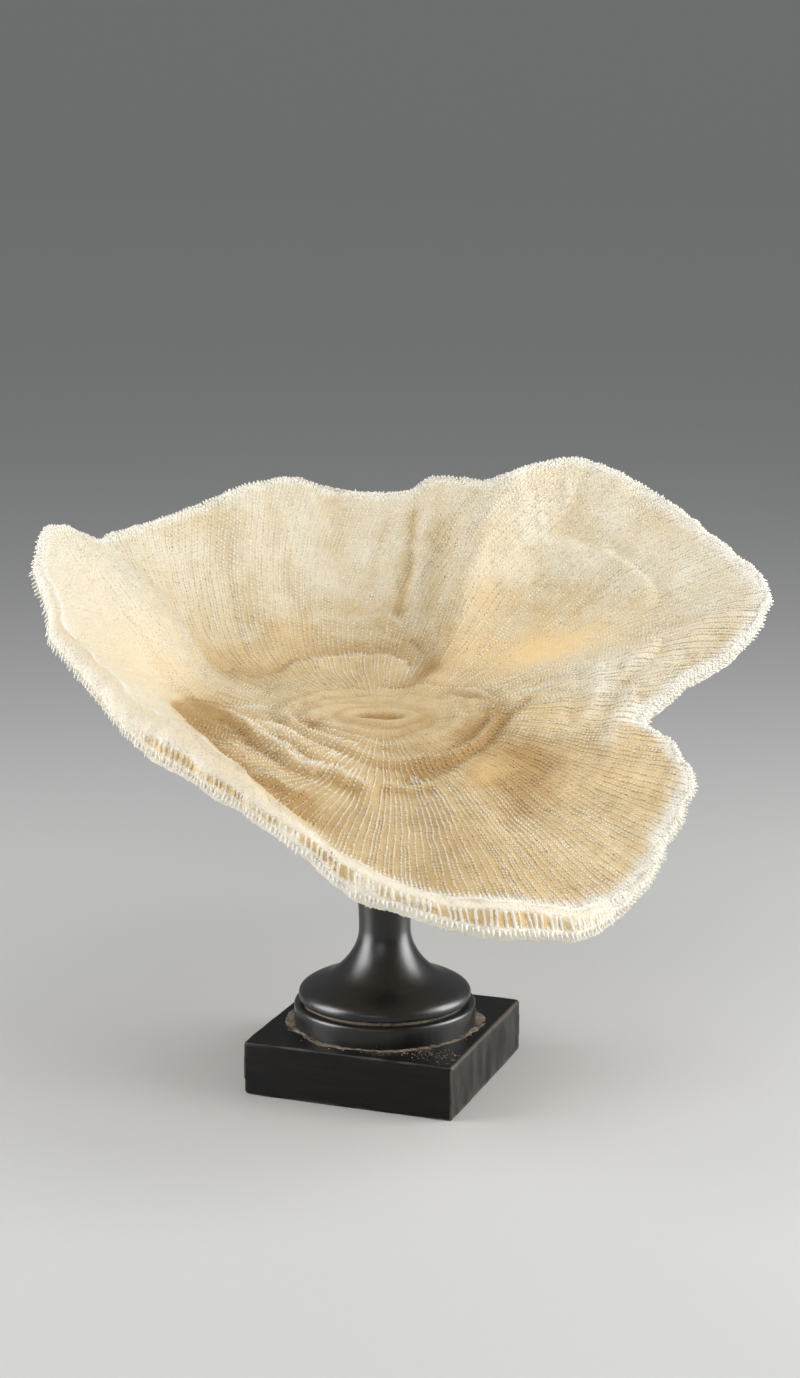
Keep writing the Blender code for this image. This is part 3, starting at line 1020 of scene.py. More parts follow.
class Value:
    """A shader socket that Python's arithmetic can use."""

    def __init__(self, finish, socket):
        self.finish = finish
        self.socket = socket

    def math(self, operation, first, second=0.0):
        """One Math node."""
        return self.finish.node("ShaderNodeMath", {"operation": operation}, {0: first, 1: second})

    def __add__(self, other):
        return self.math("ADD", self, other)

    def __radd__(self, other):
        return self.math("ADD", other, self)

    def __sub__(self, other):
        return self.math("SUBTRACT", self, other)

    def __rsub__(self, other):
        return self.math("SUBTRACT", other, self)

    def __mul__(self, other):
        return self.math("MULTIPLY", self, other)

    def __rmul__(self, other):
        return self.math("MULTIPLY", other, self)

    def clamped(self):
        """The value held between 0 and 1."""
        return self.finish.node("ShaderNodeClamp", {}, {"Value": self})

    def step(self, low, high):
        """0 below one value and 1 above another, easing between them."""
        settings = {"interpolation_type": "SMOOTHSTEP"}
        return self.finish.node("ShaderNodeMapRange", settings, {"Value": self, 1: low, 2: high})


class Finish:
    """A material in the making: its nodes are added by calls and its constants set on the shader."""

    def __init__(self, name):
        self.material = bpy.data.materials.new(name)
        self.material.use_nodes = True
        self.tree = self.material.node_tree
        self.shader = self.tree.nodes["Principled BSDF"]

    def link(self, socket, value):
        """Put a number, a colour or another node's socket into a socket."""
        if isinstance(value, Value):
            self.tree.links.new(value.socket, socket)
        elif hasattr(value, "__len__") and len(value) == 3 and socket.type == "RGBA":
            socket.default_value = (*value, 1.0)
        else:
            socket.default_value = value

    def node(self, kind, settings, inputs, output=0):
        """Any node, by its type: settings first, then the values or links of its sockets."""
        made = self.tree.nodes.new(kind)
        for name, value in settings.items():
            if name == "stops":
                self.set_stops(made.color_ramp, value)
            else:
                setattr(made, name, value)
        for key, value in inputs.items():
            self.link(made.inputs[key], value)
        return Value(self, made.outputs[output])

    @staticmethod
    def set_stops(ramp, stops):
        """Fill a colour ramp with places and colours."""
        while len(ramp.elements) < len(stops):
            ramp.elements.new(0.5)
        for element, (place, colour) in zip(ramp.elements, stops):
            element.position = place
            element.color = (*colour, 1.0)

    def place(self):
        """Object coordinates, in metres."""
        return self.node("ShaderNodeTexCoord", {}, {}, "Object")

    def stretched(self, place, scale):
        """Coordinates stretched along each axis, for grain."""
        return self.node("ShaderNodeMapping", {}, {"Vector": place, "Scale": scale})

    def noise(self, place, scale, detail=3.0, roughness=0.55):
        """Noise from 0 to 1 with the given number of features to a metre."""
        inputs = {"Vector": place, "Scale": scale, "Detail": detail, "Roughness": roughness}
        return self.node("ShaderNodeTexNoise", {}, inputs, "Fac")

    def field(self, name):
        """Numbers that the mesh carries on its points."""
        return self.node("ShaderNodeAttribute", {"attribute_name": name}, {}, "Fac")

    def ramp(self, value, stops):
        """A colour for each value."""
        return self.node("ShaderNodeValToRGB", {"stops": stops}, {"Fac": value}, "Color")

    def mix(self, share, first, second, blend="MIX"):
        """Two colours mixed by a share."""
        settings = {"data_type": "RGBA", "blend_type": blend}
        return self.node("ShaderNodeMix", settings, {0: share, 6: first, 7: second}, 2)

    def bump(self, height, distance, strength=1.0):
        """A bump whose height of 1 is the given distance in metres."""
        inputs = {"Height": height, "Distance": distance, "Strength": strength}
        return self.node("ShaderNodeBump", {}, inputs)

    def surface(self, **sockets):
        """Set or link sockets of the shader, with spaces in their names as underscores."""
        for name, value in sockets.items():
            self.link(self.shader.inputs[name.replace("_", " ")], value)
        return self.material


def coral_finish(settings):
    """Chalky skeleton: white margin, cream walls, tan to brown hollows that also carry painted shade, white
    crests that also carry painted highlight, peach places of painted glow, speckled all over.
    """
    finish = Finish("chalky_coral")
    place = finish.place()
    blotch = finish.noise(place, 75.0, 4.0, 0.6) - 0.5
    speck = finish.noise(place, 700.0, 2.0) - 0.5
    pore = finish.node("ShaderNodeTexVoronoi", {}, {"Vector": place, "Scale": 900.0}, "Distance")
    grain = 1.0 - pore.step(0.08, 0.5)
    tip = finish.field("tip").step(0.05, 0.6)
    # Brown, partly the coral's own tone and partly painted shade, with blotches and specks.
    stain = finish.field("stain") + blotch * 0.30 + speck * 0.30 + 0.12
    white = tuple(settings.white)
    cream = tuple(settings.cream)
    tan = tuple(settings.tan)
    brown = tuple(settings.brown)
    base = finish.ramp(stain.clamped(), ((0.0, cream), (0.5, tan), (1.0, brown)))
    # Peach: a warm tint, and painted glow where light seems to shine through the thin skeleton.
    glow = (finish.field("warmth") + blotch * 0.3).clamped()
    base = finish.mix(grain * (0.40 - stain.clamped() * 0.28), base, tuple(settings.tips))
    base = finish.mix(glow * 0.85, base, tuple(settings.glow))
    # Pale tips of the teeth: partly their own colour and partly painted highlight.
    pale = finish.mix(stain.step(0.3, 0.9), tuple(settings.tips), tuple(settings.cream))
    pale = finish.mix(stain.step(0.65, 1.3), pale, tuple(settings.tan))
    pale = finish.mix(glow * 0.5, pale, tuple(settings.glow))
    base = finish.mix(tip * (1.0 - stain.clamped() * 0.35), base, pale)
    # White, partly the margin's own and partly painted highlight on edges, rings and ridges.
    bleach = (finish.field("bleach") + speck * 0.4 + tip * 0.2).step(0.1, 0.95)
    base = finish.mix(bleach, base, white)
    height = speck * 0.6 + grain * 0.9
    return finish.surface(
        Base_Color=base,
        Roughness=0.82,
        Specular_IOR_Level=0.25,
        Normal=finish.bump(height, 0.0004, 0.8),
    )


def wood_finish(name, settings, grain_scale, dullness, shine):
    """Ebonised wood: near black, with fine grain, rubbed lighter on wear, lighter still where a sheen is
    painted, and dusty where dust gathers.
    """
    finish = Finish(name)
    place = finish.place()
    grain = finish.noise(finish.stretched(place, grain_scale), 1.0, 5.0, 0.65)
    patch = finish.noise(place, 60.0, 3.0)
    crumb = finish.noise(place, 650.0, 2.0, 0.5)
    wear = finish.field("wear")
    dust = finish.field("dust") + (patch - 0.5) * 0.3
    base = finish.mix(grain.step(0.35, 0.75), tuple(settings.wood), tuple(settings.grain))
    # Lighter where the wood is worn, and where a sheen is painted on the plinth's right face.
    base = finish.mix((wear + (grain - 0.5) * 0.6).step(0.3, 1.1), base, tuple(settings.worn_and_sheen))
    dust_share = (dust + (crumb - 0.5) * 0.9).step(0.45, 0.95)
    base = finish.mix(dust_share, base, tuple(settings.dust))
    fleck = crumb.step(0.76, 0.80) * patch.step(0.45, 0.6)
    base = finish.mix(fleck * 0.8, base, tuple(settings.dust))
    dulled = (dust_share * 0.6 + patch * 0.16 + grain * 0.12 + dullness).clamped()
    height = grain * 0.5 + dust_share * 0.8 + crumb * 0.15
    return finish.surface(
        Base_Color=base,
        Roughness=dulled,
        Specular_IOR_Level=shine,
        Normal=finish.bump(height, 0.00012, 0.6),
    )


def residue_finish(settings):
    """Old glue with dust stuck in it."""
    finish = Finish("old_glue")
    place = finish.place()
    crumb = finish.noise(place, 520.0, 4.0, 0.7)
    patch = finish.noise(place, 140.0, 3.0)
    base = finish.ramp(
        (crumb * 1.1 + patch * 1.0 - 0.55).clamped(),
        ((0.2, tuple(settings.grain)), (0.5, tuple(settings.glue)), (0.8, tuple(settings.dust))),
    )
    return finish.surface(
        Base_Color=base,
        Roughness=0.75 + (patch - 0.5) * 0.2,
        Normal=finish.bump(crumb, 0.0005, 0.8),
    )


def pin_finish():
    """Brushed steel with marks that run round the pin."""
    finish = Finish("brushed_steel_pin")
    mark = finish.noise(finish.stretched(finish.place(), (90.0, 90.0, 2600.0)), 1.0, 4.0)
    base = finish.mix(mark, (0.42, 0.41, 0.39), (0.56, 0.55, 0.53))
    return finish.surface(
        Base_Color=base,
        Metallic=1.0,
        Roughness=0.28 + mark * 0.2,
        Normal=finish.bump(mark, 0.00005, 0.5),
    )


def floor_finish(settings):
    """A plain, pale, matt floor."""
    finish = Finish("pale_floor")
    tooth = finish.noise(finish.place(), 300.0, 2.0)
    return finish.surface(
        Base_Color=finish.mix(tooth * 0.06, tuple(settings.floor), (0.4, 0.4, 0.4)),
        Roughness=0.9,
        Specular_IOR_Level=0.15,
    )


def length(name, description, default):
    """A length setting, given in millimetres."""
    return bpy.props.FloatProperty(name=name, description=description, default=default * MM, unit="LENGTH")


def colour(name, description, default):
    """A colour setting."""
    return bpy.props.FloatVectorProperty(
        name=name, description=description, default=default, subtype="COLOR", size=3, min=0.0, max=1.0
    )


class CUPCORAL_PG_coral(bpy.types.PropertyGroup):
    """Sizes and colours of the coral."""

    spacing: length("Septa spacing", "Distance between neighbouring septa", 2.2)
    tooth_step: length("Tooth spacing", "Distance between teeth along a septum", 1.75)
    septa_height: length("Septa height", "Height of the teeth on the septa", 1.05)
    septa_width: length("Septa width", "Width of a septum at its foot", 1.70)
    fringe_length: length("Fringe length", "Length of the teeth on the margin", 2.7)
    fringe_spacing: length("Fringe spacing", "Distance between the teeth on the margin", 2.1)
    rib_spacing: length("Rib spacing", "Distance between the ribs on the underside", 2.8)
    white: colour("White", "Colour of the margin and the crests", (0.93, 0.89, 0.785))
    # The tips' colour is partly their own and partly painted highlight.
    tips: colour("Tips", "Colour of the tips of the septa's teeth", (0.95, 0.90, 0.77))
    cream: colour("Cream", "Colour of the walls", (0.835, 0.77, 0.615))
    tan: colour("Tan", "Colour of the hollows", (0.665, 0.51, 0.28))
    # The brown also paints the shade in the deepest creases and the dimple.
    brown: colour("Brown", "Colour of the deepest creases", (0.44, 0.27, 0.10))
    # The peach colour paints a warm tint and the glow of light shining through the thin skeleton.
    glow: colour("Peach", "Colour of the warm places", (0.92, 0.67, 0.34))


class CUPCORAL_PG_stand(bpy.types.PropertyGroup):
    """Colours and finish of the stand."""

    wood: colour("Wood", "Colour of the ebonised wood", (0.004, 0.0035, 0.0035))
    grain: colour("Grain", "Colour of the open grain", (0.010, 0.008, 0.007))
    # This colour also paints the sheen on the plinth's right face.
    worn_and_sheen: colour("Worn wood", "Colour where the stain is rubbed off", (0.085, 0.070, 0.058))
    dust: colour("Dust", "Colour of settled dust", (0.30, 0.25, 0.19))
    glue: colour("Glue", "Colour of the old glue", (0.17, 0.13, 0.09))
    edge_wear: length("Edge wear", "How far the plinth's edges are rounded by wear", 1.0)


class CUPCORAL_PG_studio(bpy.types.PropertyGroup):
    """Settings of the studio."""

    floor: colour("Floor", "Colour of the floor", (0.62, 0.62, 0.61))
    surround: colour("Surround", "Colour of the light all round", (0.50, 0.51, 0.52))
    key_power: bpy.props.FloatProperty(
        name="Right softbox", description="Power of the softbox at the right", default=11.5, unit="POWER"
    )
    fill_power: bpy.props.FloatProperty(
        name="Left softbox", description="Power of the softbox at the left", default=7.5, unit="POWER"
    )
    top_power: bpy.props.FloatProperty(
        name="Overhead light", description="Power of the light above", default=4.0, unit="POWER"
    )
    front_power: bpy.props.FloatProperty(
        name="Front light", description="Power of the weak light at the front", default=4.0, unit="POWER"
    )
    strip_power: bpy.props.FloatProperty(
        name="Low strips", description="Power of the strips that show in the neck", default=1.5, unit="POWER"
    )


class CUPCORAL_OT_body(bpy.types.Operator):
    """Model the coral's grown body with its rings, plate edges, lip, underside and stalk."""

    bl_idname = "cupcoral.body"
    bl_label = "Coral body"

    def execute(self, context):
        skin = coral_skin()
        fields = {name: skin.fields[name] for name in ("stain", "bleach", "warmth")}
        fields["tip"] = np.zeros(skin.reach.shape)
        piece = wrapped_piece("coral_body", skin.points, fields)
        bpy.ops.object.shade_smooth_by_angle(angle=math.radians(60))
        finish_piece(piece, coral_finish(context.scene.cupcoral_coral), "coral_skeleton", "coral")
        return {"FINISHED"}


def septum_line(skin, index, total, settings, random):
    """One septum from where it starts, over the crest to the fringe: its place, size and whiteness."""
    share = halving(index)
    early = share * FULL_TURN
    late = skin.even_direction(share)
    column = nearest_column(early)
    late_column = nearest_column(late)
    travel = (skin.travel[: FRINGE_ROW + 1, column] + skin.travel[: FRINGE_ROW + 1, late_column]) / 2
    parted = index * settings.spacing / MM / (2 * math.pi)
    start = np.interp(parted, skin.reach[: CREST_ROW + 1, column], travel[: CREST_ROW + 1])
    start = max(SEPTUM_START, min(start, SEPTUM_LATEST_START * travel[CREST_ROW]))
    step = settings.tooth_step / MM / 2
    stations = np.arange(math.ceil(start / step), int(travel[-1] / step) + 1)
    if len(stations) < SEPTUM_FEWEST_STATIONS:
        return None
    jitter = random.uniform(-0.4, 0.4) + random.uniform(-0.3, 0.3, len(stations))
    row_numbers = np.arange(FRINGE_ROW + 1)
    rows = np.interp((stations + jitter) * step, travel, row_numbers)
    rows[-1] = FRINGE_ROW
    weight = np.interp(rows, row_numbers, skin.shares[: FRINGE_ROW + 1]) ** 2
    columns = column_at((1 - weight) * early + weight * late)
    grown = ease((stations - stations[0] + 0.5) / 10.0) * ease(0.25 + stations * step / SEPTUM_GROWS_OVER)
    margin = ease((6.5 - skin.at(skin.to_crest, columns, rows)) / 5.0)
    places = skin.at(skin.points, columns, rows)
    reach = np.maximum(np.hypot(places[:, 0], places[:, 1]), SEPTUM_START)
    bend = (1.1 * waver(places, 22.0, 42) + 0.35 * waver(places, 7.0, 43)) * ease(reach / 30.0) * (1 - margin)
    columns = columns + bend * COLUMNS / (2 * math.pi * reach)
    front = ease((facing(columns * FULL_TURN / COLUMNS, SLOPE_DIRECTION) - 0.4) / 0.5)
    lively = (0.7 + 0.3 * ease(0.5 + waver(places, 8.0, 44))) * (1 + 0.3 * front)
    calm = np.clip(skin.at(skin.fields["calm"], columns, rows), 0, 1)
    strong = index < total * SEPTA_STRONG
    size = (1.0 if strong else 0.7) * random.uniform(0.85, 1.15)
    peak = stations % 2 == 0
    tooth = np.where(peak, random.uniform(0.65, 1.25, len(stations)) * lively, 0.3 * margin - 0.2)
    margin = margin * (1 - calm)
    raised = 1 + 0.1 * margin + 0.4 * np.clip(skin.at(skin.fields["bleach"], columns, rows), 0, 1)
    heights = settings.septa_height / MM * size * grown * tooth * raised * (1 - 0.85 * calm)
    bare = skin.at(skin.bare, columns, rows)
    heights = heights * (1 - bare) - 0.4 * bare
    white = 0.4 * margin
    if strong and random.uniform() < 0.2:
        middle = random.uniform(0.3, 0.9) * len(stations)
        run = random.uniform(5.0, 11.0)
        lift = hump(np.arange(len(stations)) - middle, run) * (1 - calm) * (1 - bare)
        heights = heights + 0.2 * lift
        white = white + 0.3 * lift
    widths = settings.septa_width / MM / 2 * np.where(peak, 1.0, 0.55 + 0.25 * margin) * (0.5 + 0.5 * grown)
    widths = widths * (1.0 if strong else 0.85) * (1 - 0.45 * calm)
    # Paler tips of the teeth: partly their own colour and partly painted highlight that makes them stand out
    # as dots.
    paleness = random.uniform(0.7, 1.1) * random.uniform(0.75, 1.05, len(stations)) * lively
    outer = 0.35 + 0.65 * ease(stations * step / SEPTUM_PALES_OVER)
    tips = np.where(peak, paleness, 0.0) * (1 - 0.5 * calm) * outer
    loose = 0.2 + 0.9 * np.clip(skin.at(skin.fields["stain"], columns, rows) - 0.62, 0, 0.5)
    sideways = loose * random.uniform(-1.0, 1.0, len(stations))
    return columns, rows, heights, widths, white, tips, sideways


class CUPCORAL_OT_septa(bpy.types.Operator):
    """Model the toothed septa that radiate from the cup's middle, the strong ones and those between."""

    bl_idname = "cupcoral.septa"
    bl_label = "Septa"

    def execute(self, context):
        settings = context.scene.cupcoral_coral
        skin = coral_skin()
        total = int(girth(skin.points[CREST_ROW]) / (settings.spacing / MM))
        random = np.random.default_rng(41)
        names = ("coral_septa_first", "coral_septa_second", "coral_septa_third")
        groups = {name: Strips() for name in names}
        for index in range(total):
            line = septum_line(skin, index, total, settings, random)
            if line is None:
                continue
            order = (index >= total * SEPTA_IN_FIRST) + (index >= total * SEPTA_IN_FIRST_TWO)
            groups[names[order]].add(skin, *line)
        for name, strips in groups.items():
            finish_coral(joined_piece(name, strips))
        return {"FINISHED"}


def taken_apart(piece):
    """The points, quads and triangles of a small shape, which is then removed from the scene."""
    mesh = piece.data
    points = read_points(mesh)
    faces = [face.vertices[:] for face in mesh.polygons]
    quads = np.array([face for face in faces if len(face) == 4], int).reshape(-1, 4)
    triangles = np.array([face for face in faces if len(face) == 3], int).reshape(-1, 3)
    bpy.data.objects.remove(piece)
    bpy.data.meshes.remove(mesh)
    return points, quads, triangles


def tooth_shape():
    """The points, quads and triangles of one blunt tooth of the margin, radius 1 and length 1."""
    clear_selection()
    bpy.ops.mesh.primitive_cone_add(
        vertices=6, radius1=1.0, radius2=0.66, depth=0.72, location=(0.0, 0.0, 0.36), end_fill_type="TRIFAN"
    )
    tooth = bpy.context.object
    bpy.ops.object.transform_apply(location=True, rotation=False, scale=False)
    bpy.ops.object.mode_set(mode="EDIT")
    bpy.ops.mesh.select_all(action="DESELECT")
    bpy.ops.object.mode_set(mode="OBJECT")
    for face in tooth.data.polygons:
        face.select = face.center.z > 0.7
    bpy.ops.object.mode_set(mode="EDIT")
    bpy.ops.mesh.extrude_region_move(TRANSFORM_OT_translate={"value": (0.0, 0.0, 0.22)})
    bpy.ops.transform.resize(value=(0.55, 0.55, 1.0), center_override=(0.0, 0.0, 0.94))
    bpy.ops.object.mode_set(mode="OBJECT")
    points, quads, triangles = taken_apart(tooth)
    points[points[:, 2].argmax(), 2] = 1.0
    return points, quads, triangles


def crumb_shape():
    """The points, quads and triangles of one crumb, radius 1; it has no quads."""
    clear_selection()
    bpy.ops.mesh.primitive_ico_sphere_add(subdivisions=1, radius=1.0)
    return taken_apart(bpy.context.object)


class Copies:
    """Copies of one small closed shape, joined in one mesh."""

    def __init__(self, shape):
        self.shape, self.shape_quads, self.shape_triangles = shape
        self.points = []
        self.quads = []
        self.triangles = []
        self.fields = {"tip": []}
        self.count = 0

    def add(self, places, ways, lengths, radii, values):
        """A copy at each place, pointing each way."""
        ways = unit(ways)
        across = unit(np.cross(ways, np.array((0.13, 0.21, 1.0))))
        third = np.cross(ways, across)
        shape = self.shape[None, :, :]
        points = (
            places[:, None, :]
            + across[:, None, :] * shape[..., 0:1] * radii[:, None, None]
            + third[:, None, :] * shape[..., 1:2] * radii[:, None, None]
            + ways[:, None, :] * shape[..., 2:3] * lengths[:, None, None]
        )
        corners = len(self.shape)
        starts = self.count + corners * np.arange(len(places))
        self.points.append(points.reshape(-1, 3))
        self.quads.append((starts[:, None, None] + self.shape_quads[None]).reshape(-1, 4))
        self.triangles.append((starts[:, None, None] + self.shape_triangles[None]).reshape(-1, 3))
        self.count += corners * len(places)
        for name, value in values.items():
            self.fields.setdefault(name, []).append(np.repeat(value, corners))
        self.fields["tip"].append(np.tile(self.shape[:, 2], len(places)))


class CUPCORAL_OT_margin(bpy.types.Operator):
    """Model the rows of teeth along the margin and the bars across the hollow of the rolled lip."""

    bl_idname = "cupcoral.margin"
    bl_label = "Margin teeth and lip bars"

    # Rows of teeth: place of the row on the skin, length and radius as shares of a full tooth, how much
    # they lean outward rather than stand on the skin, and whether they also stand on the open lip
    ROWS = (
        (CREST_ROW - 1.6, 0.20, 0.95, 0.35, False),
        (CREST_ROW - 0.6, 0.26, 1.00, 0.40, False),
        (CREST_ROW + 2.0, 0.34, 1.00, 0.50, False),
        (CREST_ROW + 6.0, 0.42, 1.05, 0.55, False),
        (FRINGE_ROW - 2.6, 0.42, 1.05, 0.75, False),
        (FRINGE_ROW - 0.8, 1.00, 1.00, 0.95, True),
        (FRINGE_ROW + 0.6, 0.55, 0.95, 0.90, False),
    )

    def execute(self, context):
        settings = context.scene.cupcoral_coral
        skin = coral_skin()
        random = np.random.default_rng(67)
        self.add_teeth(skin, settings, random)
        self.add_bars(skin, random)
        return {"FINISHED"}

    def add_teeth(self, skin, settings, random):
        """Staggered rows of teeth, longest at the fringe."""
        teeth = Copies(tooth_shape())
        count = int(girth(skin.points[FRINGE_ROW]) / (settings.fringe_spacing / MM))
        full_length = settings.fringe_length / MM
        full_radius = settings.fringe_spacing / MM * TOOTH_RADIUS_SHARE
        for order, (row, length_share, radius_share, lean, everywhere) in enumerate(self.ROWS):
            even = (np.arange(count) + 0.5 * (order % 2) + random.uniform(-0.16, 0.16, count)) / count
            direction = skin.even_direction(even % 1.0)
            columns = column_at(direction)
            rows = row + random.uniform(-0.35, 0.35, count)
            if not everywhere:
                closed = skin.at(skin.bare, columns, np.full(count, CREST_ROW)) < 0.4
                direction = direction[closed]
                columns = columns[closed]
                rows = rows[closed]
            number = len(rows)
            places = skin.at(skin.points, columns, rows)
            normals = unit(skin.at(skin.normals, columns, rows))
            angle = np.radians(direction + CORAL_TURN)
            outward = np.stack((np.cos(angle), np.sin(angle), 0 * angle - 0.05), axis=-1)
            back = hump(direction - BACK_WALL_DIRECTION, BACK_MARGIN_SPREAD, 4)[:, None]
            upward = unit(skin.at(skin.outward, columns, np.full(number, CREST_ROW - 1.0)))
            outward = outward * (1 - back) + upward * back
            rolled = skin.at(skin.bare, columns, np.full(number, CREST_ROW))[:, None]
            downward = unit(skin.at(skin.outward, columns, np.full(number, FRINGE_ROW - 3.0)))
            outward = outward * (1 - rolled) + downward * rolled
            ways = normals * (1 - lean) + outward * lean + random.uniform(-0.12, 0.12, (number, 3))
            low = (1 - (0.5 if row > CREST_ROW + 8 else -0.6) * back[:, 0]) * (0.8 + 0.25 * rolled[:, 0])
            lengths = full_length * length_share * low * random.uniform(0.7, 1.25, number)
            radii = full_radius * radius_share * random.uniform(0.85, 1.2, number)
            values = {
                "stain": skin.at(skin.fields["stain"], columns, rows) * 0.3,
                "bleach": np.full(number, 1.2),
                "warmth": skin.at(skin.fields["warmth"], columns, rows),
            }
            feet = places - unit(ways) * TOOTH_FOOT_DEPTH
            teeth.add(feet, ways, lengths + TOOTH_FOOT_DEPTH, radii, values)
        finish_coral(joined_piece("coral_margin_teeth", teeth))

    def add_bars(self, skin, random):
        """White bars across the pits of the lip."""
        strips = Strips()
        count = int(girth(skin.points[CREST_ROW]) / BAR_SPACING)
        rows = np.linspace(CREST_ROW + 0.20 * LIP_ROWS, CREST_ROW + 0.98 * LIP_ROWS, BAR_STATIONS)
        for index in range(count):
            even = (index + random.uniform(-0.3, 0.3)) / count % 1.0
            slant = random.uniform(-0.8, 0.8) * np.linspace(0, 1, len(rows))
            columns = column_at(skin.even_direction(even)) + slant
            hollow = skin.at(skin.hollow, columns, rows)
            if hollow.max() < 0.3 * PIT_DEPTH:
                continue
            over = np.clip(3.0 * hollow / PIT_DEPTH, 0, 1)
            heights = hollow * random.uniform(0.8, 1.1) + over * random.uniform(0.0, 0.25, len(rows))
            heights = heights - 0.3 * (1 - over)
            widths = random.uniform(0.7, 1.4) * (1.15 - 0.3 * hollow / PIT_DEPTH)
            white = 0.5 * hollow / PIT_DEPTH
            tips = np.full(len(rows), 0.6)
            strips.add(skin, columns, rows, heights, widths, white, tips)
        finish_coral(joined_piece("coral_lip_bars", strips))


class CUPCORAL_OT_ribs(bpy.types.Operator):
    """Model the fine ribs that run down the underside from the fringe to the stalk."""

    bl_idname = "cupcoral.ribs"
    bl_label = "Ribs of the underside"

    def execute(self, context):
        settings = context.scene.cupcoral_coral
        skin = coral_skin()
        random = np.random.default_rng(83)
        strips = Strips()
        spacing = settings.rib_spacing / MM
        total = int(girth(skin.points[FRINGE_ROW]) / spacing)
        row_numbers = np.arange(UNDER_ROW, STALK_ROW + 1)
        for index in range(total):
            share = halving(index)
            late = skin.even_direction(share)
            early = share * FULL_TURN
            column = nearest_column(late)
            travel = skin.travel[UNDER_ROW:STALK_ROW + 1, column] - skin.travel[UNDER_ROW, column]
            reach = skin.reach[UNDER_ROW:STALK_ROW + 1, column]
            stop = max(index * spacing / (2 * math.pi), reach[-1] + 0.5)
            run = travel[reach > stop]
            if len(run) < 4:
                continue
            stations = np.arange(0.0, run[-1], RIB_STATION)
            rows = np.interp(stations, travel, row_numbers)
            weight = ((STALK_ROW - rows) / UNDER_ROWS) ** 0.7
            columns = column_at((1 - weight) * early + weight * late)
            ending = ease((run[-1] - stations) / 12.0)
            heights = RIB_HEIGHT * (0.35 + 0.65 * ending) * random.uniform(0.7, 1.25, len(rows))
            widths = RIB_HALF_WIDTH * (0.5 + 0.5 * ending)
            plain = np.zeros(len(rows))
            strips.add(skin, columns, rows, heights, widths, plain, plain + 0.4)
        finish_coral(joined_piece("coral_ribs", strips))
        return {"FINISHED"}


def arc(centre, radius, start, end, steps):
    """Points on an arc of a turned profile, from one angle to another in degrees."""
    angles = np.radians(np.linspace(start, end, steps + 1))
    return [(centre[0] + radius * math.cos(angle), centre[1] + radius * math.sin(angle)) for angle in angles]


def flow(start, start_way, end, end_way, steps):
    """A smooth stretch of a turned profile between two points, with the way it leaves and arrives."""
    points = []
    for share in np.linspace(0.0, 1.0, steps + 1):
        reach = hermite(start[0], start_way[0], end[0], end_way[0], share)
        height = hermite(start[1], start_way[1], end[1], end_way[1], share)
        points.append((reach, height))
    return points


def pedestal_profile():
    """The turned outline from the bore in its top, down its outer side, to the middle of its foot."""
    disc_z = PLINTH_HEIGHT + GAP
    ledge_z = disc_z + DISC_HEIGHT
    band_z = ledge_z + LEDGE_HEIGHT
    bell_z = band_z + BAND_HEIGHT
    bore = PIN_RADIUS + GAP
    neck = (NECK_RADIUS, NECK_Z)
    shoulder = (SHOULDER_RADIUS, SHOULDER_Z)
    throat = (THROAT_RADIUS, TOP_Z - COLLAR_HEIGHT)
    collar_round = COLLAR_HEIGHT / 2
    collar_centre = (COLLAR_RADIUS - collar_round, TOP_Z - collar_round)
    points = [(0.0, TOP_Z - PIN_DEPTH), (bore, TOP_Z - PIN_DEPTH), (bore, TOP_Z)]
    points += arc(collar_centre, collar_round, 90, -90, 10)
    points += flow(throat, (-9.0, -12.0), neck, (0.0, -34.0), 14)
    points += flow(neck, (0.0, -32.0), shoulder, (20.0, -8.0), 22)[1:]
    points += flow(shoulder, (12.0, -5.0), (BELL_RADIUS, bell_z), (1.0, -9.0), 12)[1:]
    points += arc((BELL_RADIUS - BELL_ROUND, band_z + BELL_ROUND), BELL_ROUND, 0, -90, 6)
    points += [(LEDGE_RADIUS, band_z), (LEDGE_RADIUS, ledge_z)]
    points += arc((DISC_RADIUS - DISC_ROUND, ledge_z - DISC_ROUND), DISC_ROUND, 90, 0, 6)
    points += [(DISC_RADIUS, disc_z + height) for height in DISC_CUTS]
    points += [(0.0, disc_z)]
    return points


